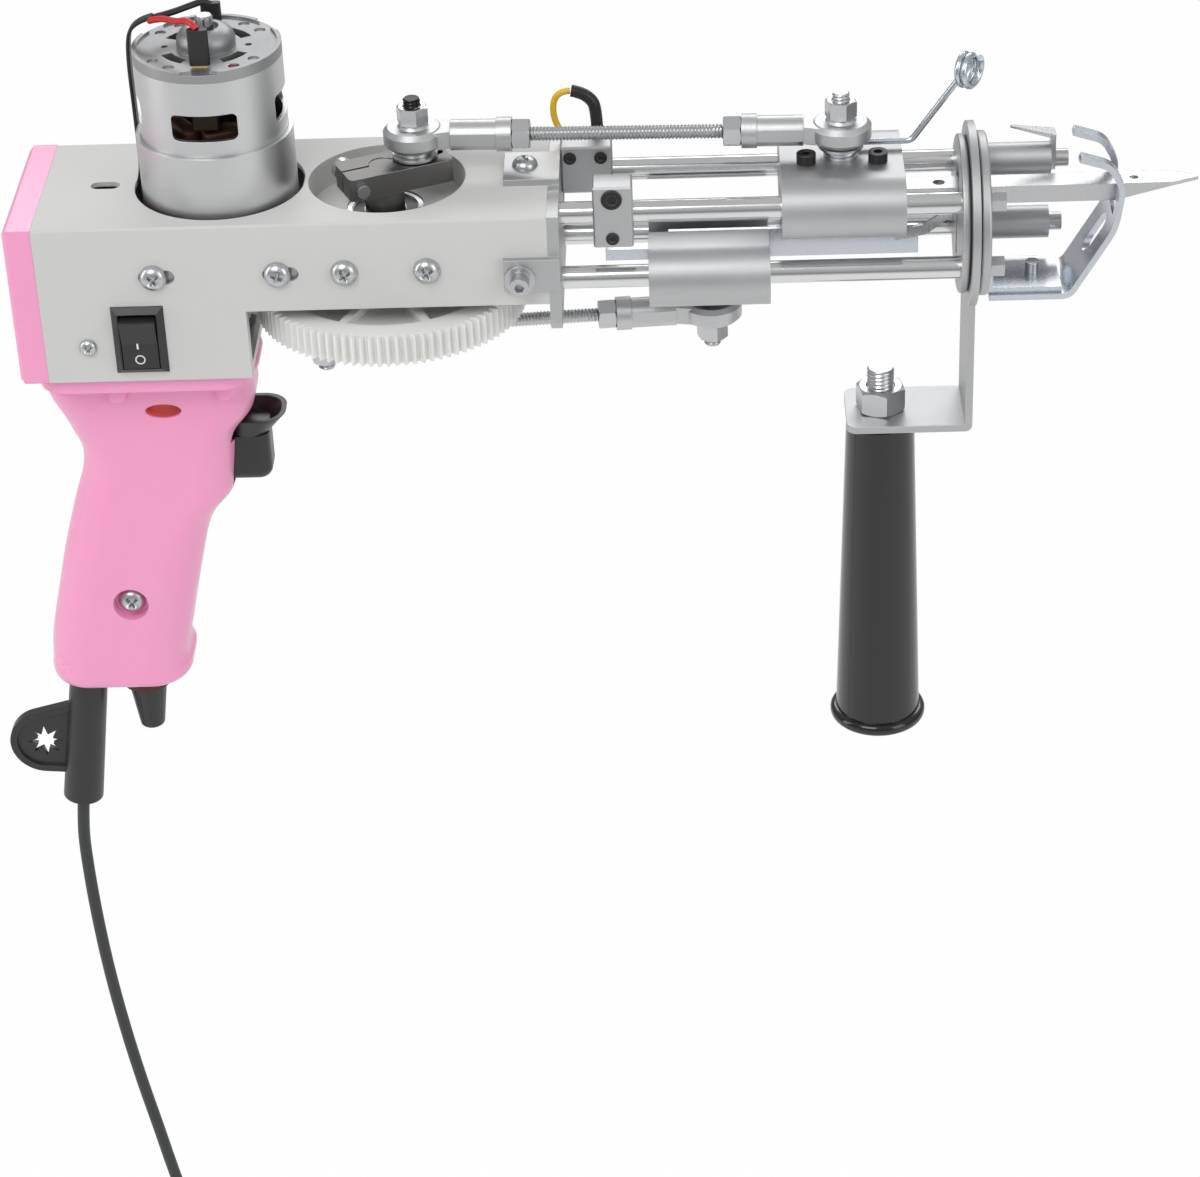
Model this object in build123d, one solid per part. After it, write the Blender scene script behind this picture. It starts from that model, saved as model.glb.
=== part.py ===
from build123d import *
from math import acos, atan2, ceil, cos, degrees, hypot, pi, radians, sin, sqrt, tan
import os

# A handheld tufting machine. X points along the needle and Z up. Sizes are in millimetres.
# Places are measured from the housing's rear edge (x), its centre plane (y) and its top face
# (z). Every piece is moved at the end, so that the origin lies in the middle of the palm.
PALM_X, PALM_Z = 16.5, -112.0

# Clearances, overruns of cuts, and overlaps inside a joined solid
RUN_FIT = 0.05
SIDE_PLAY = 0.1
EDGE_GAP = 0.2
SEAT_GAP = 0.3
OVERRUN = 3.0
WELD = 0.4
TINY = 1e-9

# Housing, folded from sheet: deep at the rear, slim at the front
HOUSING_WIDTH = 57.0
NOSE_LENGTH = 47.1
REAR_LENGTH = 58.4
REAR_HEIGHT = 48.4
SLIM_HEIGHT = 27.0
SHEET = 1.5
FOLD_RADIUS = 0.8
OVAL_X, OVAL_LENGTH, OVAL_WIDTH = 17.7, 8.4, 4.6
MESH_WINDOW_WIDTH, MESH_WINDOW_HEIGHT = 48.0, 18.4

# Rear cap and base plate
CAP_DEPTH = 8.2
CAP_BEVEL = 1.2
CAP_LIP = 3.0
CAP_WALL = 2.0
BASE_PLATE = 2.0
WIRE_HOLE_X, WIRE_HOLE_R = 12.0, 8.0
EAR_START, EAR_END, EAR_TOP = 6.0, 19.0, -32.0

# Cross-head screws: head radius, head height, shank radius, length under the head
SIDE_SCREW = (3.9, 2.6, 2.0, 6.0)
SMALL_SCREW = (2.6, 1.5, 1.25, 3.4)
GRIP_SCREW = (3.6, 2.4, 1.5, 18.0)
TAB_SCREW = (3.7, 2.5, 2.0, 6.0)
DOME_SHARE = 0.7
RECESS_LENGTH_SHARE, RECESS_WIDTH_SHARE, RECESS_DEPTH_SHARE = 1.05, 0.26, 0.55
SIDE_SCREW_Z = -15.5
MOTOR_SCREWS_X, BLOCK_SCREWS_X = (33.2, 68.3), (87.2, 110.5)
SLOT_LENGTH, SLOT_WIDTH, SLOT_SHIFT = 10.2, 4.3, 0.9
SMALL_SCREW_X, SMALL_SCREW_Z = 12.5, -37.1

# Gear train: a nylon gear under the slim housing, driven by the motor's pinion
GEAR_MODULE = 0.8
GEAR_TEETH, PINION_TEETH = 96, 21
ADDENDUM_SHARE, DEDENDUM_SHARE = 1.0, 1.25
PRESSURE_ANGLE = 20.0
BACKLASH = 0.3
GEAR_TOP, GEAR_FACE, PINION_FACE = -31.0, 9.0, 9.0
GEAR_RIM_R, GEAR_HUB_R, GEAR_WEB = 31.0, 9.5, 3.6
GEAR_RIBS, GEAR_RIB_WIDTH = 8, 2.4
GEAR_BOSS_R = 5.5

# Motor, standing through the housing's top
MOTOR_X = 50.7
MOTOR_HOLE_R = 24.4
CAN_R, CAN_WALL, CAN_TOP = 21.0, 1.3, 39.6
FLUX_R, FLUX_TOP, FLUX_BOTTOM = 22.3, 17.4, -19.0
WINDOW_WIDTH, WINDOW_HEIGHT, WINDOW_BOTTOM, WINDOW_CORNER = 18.4, 7.8, 22.2, 1.6
WINDOW_COUNT = 4
END_PLATE = 2.6
RIM_LIP = 0.7
HUB_BASE_R, HUB_NECK_R, HUB_RISE, HUB_WALL = 8.3, 3.9, 5.8, 1.2
VENT_INNER_R, VENT_OUTER_R, VENT_SPAN, VENT_COUNT = 10.2, 13.4, 38.0, 4
DIMPLE_R, DIMPLE_DEPTH, DIMPLE_RING_R = 1.6, 0.5, 17.2
DIMPLE_ANGLES = (35, 58, 122, 145, 215, 238, 302, 325)
SMALL_VENT_R, SMALL_VENT_RING_R, SMALL_VENT_ANGLES = 0.95, 11.8, (0, 180)
RIM_NOTCH_HALF, RIM_NOTCH_ANGLES = 5.2, (38, 142, 270)
TERMINAL_Y, TERMINAL_WIDTH, TERMINAL_THICK, TERMINAL_RISE = 15.4, 4.6, 0.8, 6.0
BRUSH_START, BRUSH_END, BRUSH_HALF, BRUSH_BOTTOM = 6.4, 17.0, 3.4, 24.0
MOTOR_SHAFT_R, MOTOR_SHAFT_TOP = 2.5, 51.4
ROTOR_R, ROTOR_LENGTH, ROTOR_BOTTOM = 16.6, 30.0, -12.0
COMMUTATOR_R, COMMUTATOR_LENGTH, COMMUTATOR_BOTTOM = 6.0, 9.0, 24.0
SHAFT_BOSS_R = 8.7

# Plate and blocks inside the housing
MOUNT_PLATE, MOUNT_PLATE_START = 1.8, 20.0
MOTOR_BLOCK_LENGTH, MOTOR_BLOCK_TOP = 46.6, -8.0
BLOCK_GAP = 0.4
BEARING_BLOCK_LENGTH = 47.0
DISH_X, DISH_R, DISH_FLOOR = 98.5, 22.5, -8.5

# Bearings, crankshaft and upper crank arm
BEARING_R, BEARING_BORE_R, BEARING_WIDTH = 11.0, 4.0, 7.0
BEARING_INNER_R, BEARING_OUTER_R, SHIELD_DEPTH = 5.9, 9.5, 0.6
BEARING_SINK = 0.4
INNER_RING_R = 5.7
CRANK_THROW, CRANK_ANGLE = 10.0, 24.0
ARM_TOP, ARM_THICK = 4.6, 6.8
ARM_TAIL, ARM_NOSE, ARM_WIDTH, ARM_CORNER = 12.3, 19.3, 13.8, 1.8
ARM_SLIT = 1.0
ARM_HOLE_R, ARM_HOLE_INSET = 2.0, 2.9
PINCH_R, PINCH_HEAD_R, PINCH_HEAD, PINCH_TIP, PINCH_INSET = 1.9, 3.3, 3.0, 1.6, 3.4
PINCH_DROP = 3.6

# Lower crank: its pin is set in the gear, opposite the upper one
LOWER_THROW = 21.5

# Connecting rods: rod ends, threaded bars, studs, nuts and washers
EYE_R, EYE_THICK, EYE_BEVEL = 8.7, 6.0, 1.3
BALL_R, BALL_HALF = 5.4, 4.0
STUD_R, STUD_CHAMFER, STUD_TIP = 2.5, 0.7, 2.4
NECK_WIDTH, SHANK_START = 13.4, 11.0
SHANK_R, SHANK_FLAT, SLIM_SHANK_R = 4.4, 8.1, 4.05
COLLAR_START, COLLAR_LENGTH, ROD_COLLAR_R, SLIM_COLLAR_R = 23.7, 4.4, 4.9, 4.1
ROD_R, ROD_DEPTH = 2.1, 11.0
NUT_FLATS, LOCK_NUT_LENGTH, STUD_NUT_HEIGHT = 8.0, 5.2, 5.2
UPPER_ROD_Z, LOWER_ROD_Z = 11.2, -44.4
WIDE_WASHER_R, WIDE_WASHER = 6.5, 1.0
SMALL_WASHER_R, WIRE_CORE_R = 4.9, 3.2

# Carriages and the rods that guide them
GUIDE_R, GUIDE_Y = 3.25, 14.0
UPPER_GUIDE_Z, LOWER_GUIDE_Z = -5.8, -26.1
TUBE_R = 9.1
UPPER_CARRIAGE_START, UPPER_CARRIAGE_LENGTH = 66.0, 34.9
LOWER_CARRIAGE_START, LOWER_CARRIAGE_LENGTH = 28.1, 34.5
UPPER_STUD_X, LOWER_STUD_X = 83.4, 46.0
CHANNEL_HALF = 4.9
CAP_SCREWS_X, CAP_SCREW_Y = (73.4, 93.7), -4.4
CAP_HEAD_R, CAP_HEAD, CAP_SHANK_R, CAP_SHANK, CAP_SOCKET_FLATS = 2.75, 3.0, 1.5, 6.0, 2.5
LONG_CAP_HEAD = 4.9
SOCKET_DEPTH_SHARE = 0.55

# Needle: an upside-down channel with a yarn eye and a sloping point
NEEDLE_WIDTH, NEEDLE_DEPTH, NEEDLE_WALL = 7.8, 5.2, 1.1
NEEDLE_TOP = -6.0
NEEDLE_START, NEEDLE_TIP, NEEDLE_TIP_HALF = 71.4, 185.1, 0.4
NEEDLE_SLOPE_START, NEEDLE_SLOPE_END = 161.4, 177.4
NEEDLE_EYE_X, NEEDLE_EYE_R, NEEDLE_HOLE_X, NEEDLE_HOLE_R = 166.9, 1.2, 111.4, 1.7

# Cutter plate and scissor blades, as outlines of x and z
PLATE_THICK = 1.5
PLATE_START, PLATE_STEP_START, PLATE_STEP_END, PLATE_END = 15.6, 28.2, 33.9, 105.7
PLATE_BOTTOM, PLATE_TAB_TOP, PLATE_TOP = -27.8, -24.4, -19.0
BLADE_THICK, BLADE_CLEAR = 0.9, 0.2
BLADE_PIVOT_X, BLADE_PIVOT_Z, BLADE_PIVOT_R = 111.9, -14.6, 1.0
FIXED_BLADE = (
    (98.9, -23.4), (98.9, -20.2), (106.9, -18.6), (117.9, -11.0),
    (129.9, -7.6), (130.4, -9.0), (119.9, -12.6), (107.9, -21.6),
)
MOVING_BLADE = (
    (106.6, -13.0), (108.0, -11.8), (112.9, -12.6), (121.9, -9.6),
    (129.9, -8.9), (130.4, -10.4), (121.4, -12.4), (112.4, -16.8),
)

# Yarn guide: one wire, looped round the carriage's stud, with a pigtail
WIRE_R = 0.9
WIRE_LOOP_R, WIRE_Z = 4.4, 5.25
WIRE_LOOP_START, WIRE_LOOP_STEP, WIRE_LOOP_ARCS = 18.0, 72.0, 4
WIRE_BEND_X, WIRE_BEND_R = 103.6, 3.0
PIGTAIL_X, PIGTAIL_Z, PIGTAIL_R, PIGTAIL_PITCH = 119.1, 28.3, 4.3, 2.0
PIGTAIL_TURNS, PIGTAIL_YAW, PIGTAIL_START = 2, 32.0, 45.0
WIRE_LEAD = 5.0

# Head plate, its tabs and screws, and the two clamp blocks in front of it
HEAD_SHEET, HEAD_BOTTOM, HEAD_BEVEL = 3.3, -36.4, 3.0
TOP_TAB_Y0, TOP_TAB_Y1, TAB_LENGTH, TAB_SHEET = -7.7, 10.8, 12.6, 1.9
SIDE_TAB_Z0, SIDE_TAB_Z1 = -21.8, -12.2
HEAD_SCREW_X, HEAD_SCREW_Z, TAB_SCREW_X, TAB_SCREW_Y = -8.0, -18.0, -6.6, 2.2
WASHER_R, WASHER = 4.3, 0.9
HEAD_OPENING, HEAD_OPENING_R = (21.4, -16.0), 4.2
ROD_STUB = 3.0
REAR_CLAMP = ((3.3, 18.2), (9.5, 18.5), (-11.1, 3.4))
FRONT_CLAMP = ((12.8, 24.1), (-19.5, -10.0), (-14.4, 4.3))
CLAMP_BEVEL = 0.5
SET_SCREW_R, BIG_SET_SCREW_R, SET_SCREW_PROUD, SET_SCREW_DEPTH = 1.8, 2.9, 0.4, 1.0
REAR_SET_SCREWS_X, REAR_SET_SCREWS_Z = (6.0, 14.9), 0.0
FRONT_SET_SCREW_X, FRONT_BIG_Z, FRONT_SMALL_Z = 18.2, 0.5, -11.6

# Front plates with the window for needle and cutter
FRONT_X, FRONT_SHEET, GASKET, BRACKET_SHEET, OUTER_SHEET = 116.7, 2.2, 0.5, 2.2, 2.8
DISC_R, STRIP_R, OUTER_R, DISC_Z, DISC_ROUND = 22.8, 26.5, 23.6, -16.0, 0.7
WINDOW_HALF, WINDOW_LOW, WINDOW_HIGH, SLOT_HALF, SLOT_LOW = 5.5, -14.0, -1.0, 2.4, -29.2

# Handle bracket and front handle
STRIP_WIDTH, STRIP_BEND_R, FOOT_TOP, FOOT_REACH, FOOT_CORNER = 24.0, 2.1, -79.0, 36.6, 3.0
HANDLE_X = 95.3
HANDLE_TOP_R, HANDLE_END_R, HANDLE_LENGTH, HANDLE_BEVEL = 10.1, 12.9, 103.0, 1.6
HANDLE_FLANGE_R, HANDLE_FLANGE, HANDLE_FLANGE_ROUND = 14.7, 4.0, 1.8
HANDLE_STUD_R, HANDLE_STUD_RISE, HANDLE_STUD_DEPTH = 4.0, 13.6, 34.0
HANDLE_NUT_FLATS, HANDLE_NUT = 13.0, 7.6

# Screws, standoffs and hook on the outer plate
ROD_BOLT_FLATS, ROD_BOLT_HEAD, ROD_BOLT_R, ROD_BOLT_DEPTH = 5.5, 4.4, 1.5, 7.0
STANDOFF_R, STANDOFF_END = 4.75, 144.4
STANDOFF_HEAD_R, STANDOFF_HEAD = 2.6, 3.8
HOOK_SHEET, HOOK_WIDTH, HOOK_RISE, HOOK_REACH, HOOK_LIFT = 1.3, 5.2, 3.4, 13.0, 2.4
HOOK_TIP_WIDTH = 0.8

# Presser bracket, and the foot as a path of x and z with its bend radii
BRACKET_END, BRACKET_TOP, PRESSER_SHEET, BRACKET_HALF = 146.4, -35.2, 1.8, 10.0
BRACKET_LEG_TOP = -30.4
FOOT_PATH = ((125.6, -37.9), (148.6, -37.9), (160.9, -17.0), (162.6, -4.6), (158.9, 2.2), (150.2, 4.9))
FOOT_RADII = (4.0, 20.0, 7.5, 6.0)
FOOT_HALF, FOOT_SLOT_HALF, FOOT_SLOT_LOW, FOOT_SLOT_HIGH = 11.0, 3.4, -28.6, -17.0
FORK_HALF, FORK_BOTTOM = 7.2, -14.2
PRESSER_SCREW_X, PRESSER_SCREW_R, PRESSER_NUT_FLATS = 138.8, 2.0, 7.0
PRESSER_SCREW_RISE, PRESSER_NUT = 3.4, 3.2

# Rocker switch
SWITCH_X, SWITCH_Z = 27.5, -34.9
BEZEL_WIDTH, BEZEL_HEIGHT, BEZEL_PROUD, BEZEL_BEVEL = 15.0, 21.0, 2.0, 1.7
SWITCH_BODY_WIDTH, SWITCH_BODY_HEIGHT, SWITCH_BODY_DEPTH = 12.6, 18.8, 11.0
ROCKER_WIDTH, ROCKER_HEIGHT, ROCKER_PROUD, ROCKER_DIP = 10.2, 15.6, 1.2, 1.1
ROCKER_Y, ROCKER_ROOM, ROCKER_SWING_ROOM = -26.8, 5.6, 0.8
ROCKER_TRAVEL, ROCKER_PIN_R, ROCKER_PIN, ROCKER_BELLY = 16.0, 1.0, 0.6, 3.0

# Pistol grip: stations down the grip, each with its height, rear x, front x and half width
GRIP_STATIONS = (
    (-53.4, -4.8, 56.2, 17.6),
    (-58.5, -5.0, 56.0, 17.3),
    (-63.4, -4.8, 55.5, 16.9),
    (-70.8, -1.3, 53.9, 16.2),
    (-75.7, 0.6, 50.3, 15.8),
    (-79.8, 2.2, 48.9, 15.5),
    (-84.7, 2.6, 48.3, 15.3),
    (-92.1, 1.1, 47.4, 15.2),
    (-97.8, -0.9, 46.2, 15.3),
    (-102.4, -2.4, 42.3, 15.5),
    (-108.4, -4.2, 38.6, 15.7),
    (-116.0, -6.4, 36.2, 15.9),
    (-128.0, -9.4, 33.2, 16.2),
    (-140.0, -12.3, 30.4, 16.5),
    (-151.0, -14.3, 27.9, 16.8),
    (-157.6, -15.0, 28.2, 16.9),
)
GRIP_BOTTOM, GRIP_FOOT_ROUND, GRIP_CORNER_SHARE = -163.4, 4.4, 0.72
GRIP_WALL, GRIP_RIB_HALF, GRIP_REACH = 2.6, 14.0, 20.0
FLANGE_REAR, FLANGE_FRONT, FLANGE_HALF, FLANGE_DEPTH, FLANGE_CORNER = -4.4, 56.8, 26.4, 5.0, 9.0
BOSSES = ((17.2, 3.0), (48.4, 2.5))
BOSS_Y, BOSS_BOTTOM = 17.6, -61.0
GRIP_SCREW_X, GRIP_SCREW_Z = 13.1, -132.0
LEDGE_WELL_X, LEDGE_WELL_Z, LEDGE_WELL_HALF, LEDGE_WELL_RISE = 29.7, -65.0, 5.3, 2.4
SCREW_WELL_R, SCREW_WELL_DEPTH, SCREW_WELL_Y = 5.3, 3.4, 16.3
POST_R = 6.4

# Trigger with its cup-shaped lip, and the switch behind it
TRIGGER_HALF, TRIGGER_BOTTOM, TRIGGER_CORNER, TRIGGER_ROUND = 6.8, -95.4, 4.0, 3.4
TRIGGER_FACE, TRIGGER_BACK, TRIGGER_TRAVEL = 58.4, 40.0, 6.0
LIP_REACH, LIP_HALF, LIP_BACK, LIP_WALL = 63.6, 9.2, 46.0, 1.5
LIP_TOP, LIP_ROOT, LIP_FLOOR, LIP_CORNER_SHARE = -74.0, -80.0, -77.6, 0.8
TRIGGER_ROOM = ((9.6, -80.4, -73.4), (7.2, -95.8, -80.3))
SWITCH_UNIT = ((18.0, 33.4), (-7.0, 7.0), (-97.0, -76.0))

# Speed control: a collar and a fluted knob under the grip
KNOB_X, KNOB_TOP_R, KNOB_END_R, KNOB_LENGTH, KNOB_ROUND = 12.4, 5.9, 3.7, 16.1, 1.2
KNOB_FLANGE_R, KNOB_FLANGE, KNOB_HEAD = 7.4, 6.4, 1.6
KNOB_SHAFT_R, KNOB_SHAFT = 3.0, 7.0
KNOB_BODY_R, KNOB_BODY = 7.5, 9.0
KNOB_FLUTES, KNOB_FLUTE_R = 9, 0.8

# Strain relief with its lug
RELIEF_TOP = (-6.0, 0.0, -168.6)
RELIEF_END = (-12.6, 0.0, -212.6)
RELIEF_R, RELIEF_END_R, RELIEF_ROOT = 5.9, 6.3, 9.0
LUG_X, LUG_Z, LUG_R, LUG_THICK, LUG_RIM, LUG_RIM_PROUD = -22.2, -191.6, 11.0, 1.8, 2.2, 0.9
LUG_JOIN_TOP, LUG_JOIN_BOTTOM = -176.0, -203.4
STAR_TIP_R, STAR_ROOT_R, STAR_POINTS = 5.6, 2.6, 8

# Power cord, hanging from inside the strain relief's end
CORD_R = 1.95
CORD_ROUTE = (
    (-11.9, 0.0, -207.9),
    (-14.3, 0.0, -224.0),
    (-14.5, 0.1, -240.0),
    (-13.8, 0.2, -262.0),
    (-12.3, 0.4, -285.0),
    (-9.7, 0.5, -309.0),
    (-6.4, 0.4, -332.0),
    (-2.7, 0.2, -353.0),
    (0.2, 0.0, -371.0),
    (3.6, 0.0, -388.6),
    (12.6, 0.0, -401.8),
    (24.6, 0.0, -408.9),
)
CORD_BEND_SHARE = 0.45

# Put-away coil of the cord's unseen length, its tie and its plug
COIL_LAYERS, COIL_TURNS = 4, 3
COIL_PITCH, COIL_MID_R = 4.5, 21.4
PLUG_LEAD = 14.0
TIE_WIDTH, TIE_THICK = 6.0, 1.0
CONNECTOR_R, CONNECTOR_LENGTH, CONNECTOR_NECK_R, CONNECTOR_NECK = 4.9, 20.0, 3.0, 12.0
BARREL_R, BARREL_BORE_R, BARREL_LENGTH, BARREL_FLOOR = 2.75, 1.05, 9.5, 2.4

# Leads of the motor, and the yellow lead with its black sleeve by the head plate
LEAD_R, LEAD_BEND_R, SLEEVE_WALL, SLEEVE_REACH, TERMINAL_BARE = 0.95, 1.2, 0.6, 6.2, 1.0
RED_ROUTE = (
    (34.9, 3.4, 53.1), (38.6, 0.6, 55.2), (44.2, -8.0, 56.2), (48.7, -13.4, 57.4), (50.5, -15.2, 55.2),
)
BLACK_ROUTE = (
    (34.9, 5.9, 53.1), (39.4, 9.4, 52.4), (45.2, 13.4, 51.4), (49.4, 15.2, 51.5), (50.7, 15.4, 49.8),
)
DOWN_ROUTE = (
    (34.6, 4.6, 52.8), (29.2, 4.8, 49.4), (27.6, 5.0, 41.0), (27.9, 5.0, 17.0), (28.0, 5.0, -2.5),
    (17.2, 3.0, -13.0), (16.4, -4.0, -33.0), (23.5, -11.6, -36.4), (27.2, -16.4, -35.4),
)
DOWN_BEND_R, DOWN_HALF, DOWN_THICK, DOWN_CORNER = 2.2, 1.9, 1.0, 0.33
YELLOW_ROUTE = (
    (-5.6, 20.7, -16.0), (4.7, 20.7, -16.0), (4.7, 20.7, 1.0), (1.0, 20.7, 8.4), (2.2, 20.7, 16.0),
    (6.4, 20.7, 16.2),
)
TAIL_ROUTE = ((6.8, 20.7, 16.2), (11.6, 20.7, 15.2), (14.6, 20.7, 9.0), (13.8, 20.7, -20.0))
YELLOW_BEND_R, TAIL_R, TAIL_BEND_R = 2.2, 1.8, 2.4

BASE = (Align.CENTER, Align.CENTER, Align.MIN)
LOW = (Align.MIN, Align.MIN, Align.MIN)

# Values worked out from those above
HALF_WIDTH = HOUSING_WIDTH / 2
INNER_HALF = HALF_WIDTH - SHEET - EDGE_GAP
GEAR_PITCH_R = GEAR_MODULE * GEAR_TEETH / 2
PINION_PITCH_R = GEAR_MODULE * PINION_TEETH / 2
CRANK_X = MOTOR_X + GEAR_PITCH_R + PINION_PITCH_R
HOUSING_LENGTH = CRANK_X + NOSE_LENGTH
HEAD_X = HOUSING_LENGTH
GEAR_FIRST_TOOTH = 180.0 / GEAR_TEETH
GEAR_BOTTOM = GEAR_TOP - GEAR_FACE
MOTOR_BASE = -SLIM_HEIGHT + MOUNT_PLATE
BEARING_BOTTOMS = (MOTOR_BASE, DISH_FLOOR - BEARING_SINK - BEARING_WIDTH)
SHAFT_R = BEARING_BORE_R - RUN_FIT
PIN_X = CRANK_X + CRANK_THROW * cos(radians(CRANK_ANGLE))
PIN_Y = CRANK_THROW * sin(radians(CRANK_ANGLE))
LOWER_PIN_X = CRANK_X - LOWER_THROW * cos(radians(CRANK_ANGLE))
LOWER_PIN_Y = -LOWER_THROW * sin(radians(CRANK_ANGLE))
# Lengths given from the head plate's face, as places along the machine
UPPER_CARRIAGE_START, LOWER_CARRIAGE_START = HEAD_X + UPPER_CARRIAGE_START, HEAD_X + LOWER_CARRIAGE_START
UPPER_STUD_X, LOWER_STUD_X = HEAD_X + UPPER_STUD_X, HEAD_X + LOWER_STUD_X
CAP_SCREWS_X = [HEAD_X + x for x in CAP_SCREWS_X]
NEEDLE_START, NEEDLE_TIP = HEAD_X + NEEDLE_START, HEAD_X + NEEDLE_TIP
NEEDLE_SLOPE_START, NEEDLE_SLOPE_END = HEAD_X + NEEDLE_SLOPE_START, HEAD_X + NEEDLE_SLOPE_END
NEEDLE_EYE_X, NEEDLE_HOLE_X = HEAD_X + NEEDLE_EYE_X, HEAD_X + NEEDLE_HOLE_X
PLATE_START, PLATE_END = HEAD_X + PLATE_START, HEAD_X + PLATE_END
PLATE_STEP_START, PLATE_STEP_END = HEAD_X + PLATE_STEP_START, HEAD_X + PLATE_STEP_END
BLADE_PIVOT_X, WIRE_BEND_X, PIGTAIL_X = HEAD_X + BLADE_PIVOT_X, HEAD_X + WIRE_BEND_X, HEAD_X + PIGTAIL_X
FIXED_BLADE = [(HEAD_X + x, z) for x, z in FIXED_BLADE]
MOVING_BLADE = [(HEAD_X + x, z) for x, z in MOVING_BLADE]
HEAD_SCREW_X, TAB_SCREW_X = HEAD_X + HEAD_SCREW_X, HEAD_X + TAB_SCREW_X
REAR_CLAMP = ([HEAD_X + x for x in REAR_CLAMP[0]], *REAR_CLAMP[1:])
FRONT_CLAMP = ([HEAD_X + x for x in FRONT_CLAMP[0]], *FRONT_CLAMP[1:])
REAR_SET_SCREWS_X = [HEAD_X + x for x in REAR_SET_SCREWS_X]
FRONT_SET_SCREW_X, FRONT_X, HANDLE_X = HEAD_X + FRONT_SET_SCREW_X, HEAD_X + FRONT_X, HEAD_X + HANDLE_X
STANDOFF_END, BRACKET_END = HEAD_X + STANDOFF_END, HEAD_X + BRACKET_END
PRESSER_SCREW_X = HEAD_X + PRESSER_SCREW_X
FOOT_PATH = [(HEAD_X + x, z) for x, z in FOOT_PATH]
YELLOW_ROUTE = [(HEAD_X + x, y, z) for x, y, z in YELLOW_ROUTE]
TAIL_ROUTE = [(HEAD_X + x, y, z) for x, y, z in TAIL_ROUTE]
UPPER_TOP = UPPER_GUIDE_Z + TUBE_R
LOWER_BOTTOM = LOWER_GUIDE_Z - TUBE_R
BRACKET_X = FRONT_X + FRONT_SHEET + GASKET
OUTER_X = BRACKET_X + BRACKET_SHEET + GASKET
FRONT_FACE = OUTER_X + OUTER_SHEET
NEEDLE_BOTTOM = NEEDLE_TOP - NEEDLE_DEPTH
HANDLE_TOP = FOOT_TOP - BRACKET_SHEET
GUIDE_PLACES = [(side * GUIDE_Y, z) for side in (-1, 1) for z in (UPPER_GUIDE_Z, LOWER_GUIDE_Z)]

parts = {}


def block(x0, x1, y0, y1, z0, z1):
    return Pos(x0, y0, z0) * Box(x1 - x0, y1 - y0, z1 - z0, align=LOW)


def rod(start, end, radius, end_radius=None):
    axis = Vector(*end) - Vector(*start)
    plane = Plane(origin=start, z_dir=axis)
    if end_radius is None:
        return plane * Cylinder(radius, axis.length, align=BASE)
    return plane * Cone(radius, end_radius, axis.length, align=BASE)


def post(x, y, z0, z1, radius):
    return Pos(x, y, z0) * Cylinder(radius, z1 - z0, align=BASE)


def ring(x, y, z0, z1, outer, inner):
    return post(x, y, z0, z1, outer) - post(x, y, z0, z1, inner)


def nut(plane, flats, height, bore):
    profile = RegularPolygon(flats / 2, 6, major_radius=False) - Circle(bore)
    return extrude(plane * profile, height)


def facing(x, y, z, outward):
    # A plane on a side wall, with its own X along the machine
    return Plane(origin=(x, y, z), x_dir=(1, 0, 0), z_dir=outward)


def side_view(points, y0, y1):
    # A flat plate cut to an outline of x and z, from y0 to y1
    outline = Polyline(*[(x, y0, z) for x, z in points], close=True)
    return extrude(make_face(outline), y1 - y0, dir=(0, 1, 0))


def cross_screw(sizes):
    head_r, head, shank_r, length = sizes
    top = Cylinder(head_r, head, align=BASE)
    top = fillet(top.edges().sort_by(Axis.Z)[-1], head * DOME_SHARE)
    slot = Box(head_r * RECESS_LENGTH_SHARE, head_r * RECESS_WIDTH_SHARE, head, align=BASE)
    slot = Pos(0, 0, head * (1 - RECESS_DEPTH_SHARE)) * slot
    shank = Pos(0, 0, -length) * Cylinder(shank_r, length, align=BASE)
    return top - slot - Rot(0, 0, 90) * slot + shank


def cap_screw(head_r, head, socket_flats, shank_r, length):
    top = Cylinder(head_r, head, align=BASE)
    socket = extrude(RegularPolygon(socket_flats / 2, 6, major_radius=False), head)
    shank = Pos(0, 0, -length) * Cylinder(shank_r, length, align=BASE)
    return top - Pos(0, 0, head * (1 - SOCKET_DEPTH_SHARE)) * socket + shank


def keep(name, *solids):
    moved = [Pos(-PALM_X, 0, -PALM_Z) * solid for solid in solids]
    parts[name] = moved[0] if len(moved) == 1 else Compound(children=moved)


def save_all():
    os.makedirs("parts", exist_ok=True)
    for name, shape in parts.items():
        export_step(shape, f"parts/{name}.step")
        box = shape.bounding_box()
        print(name, len(shape.solids()), round(shape.volume, 1), [round(v, 1) for v in (*box.min, *box.max)])


# Housing and what closes it

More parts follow.
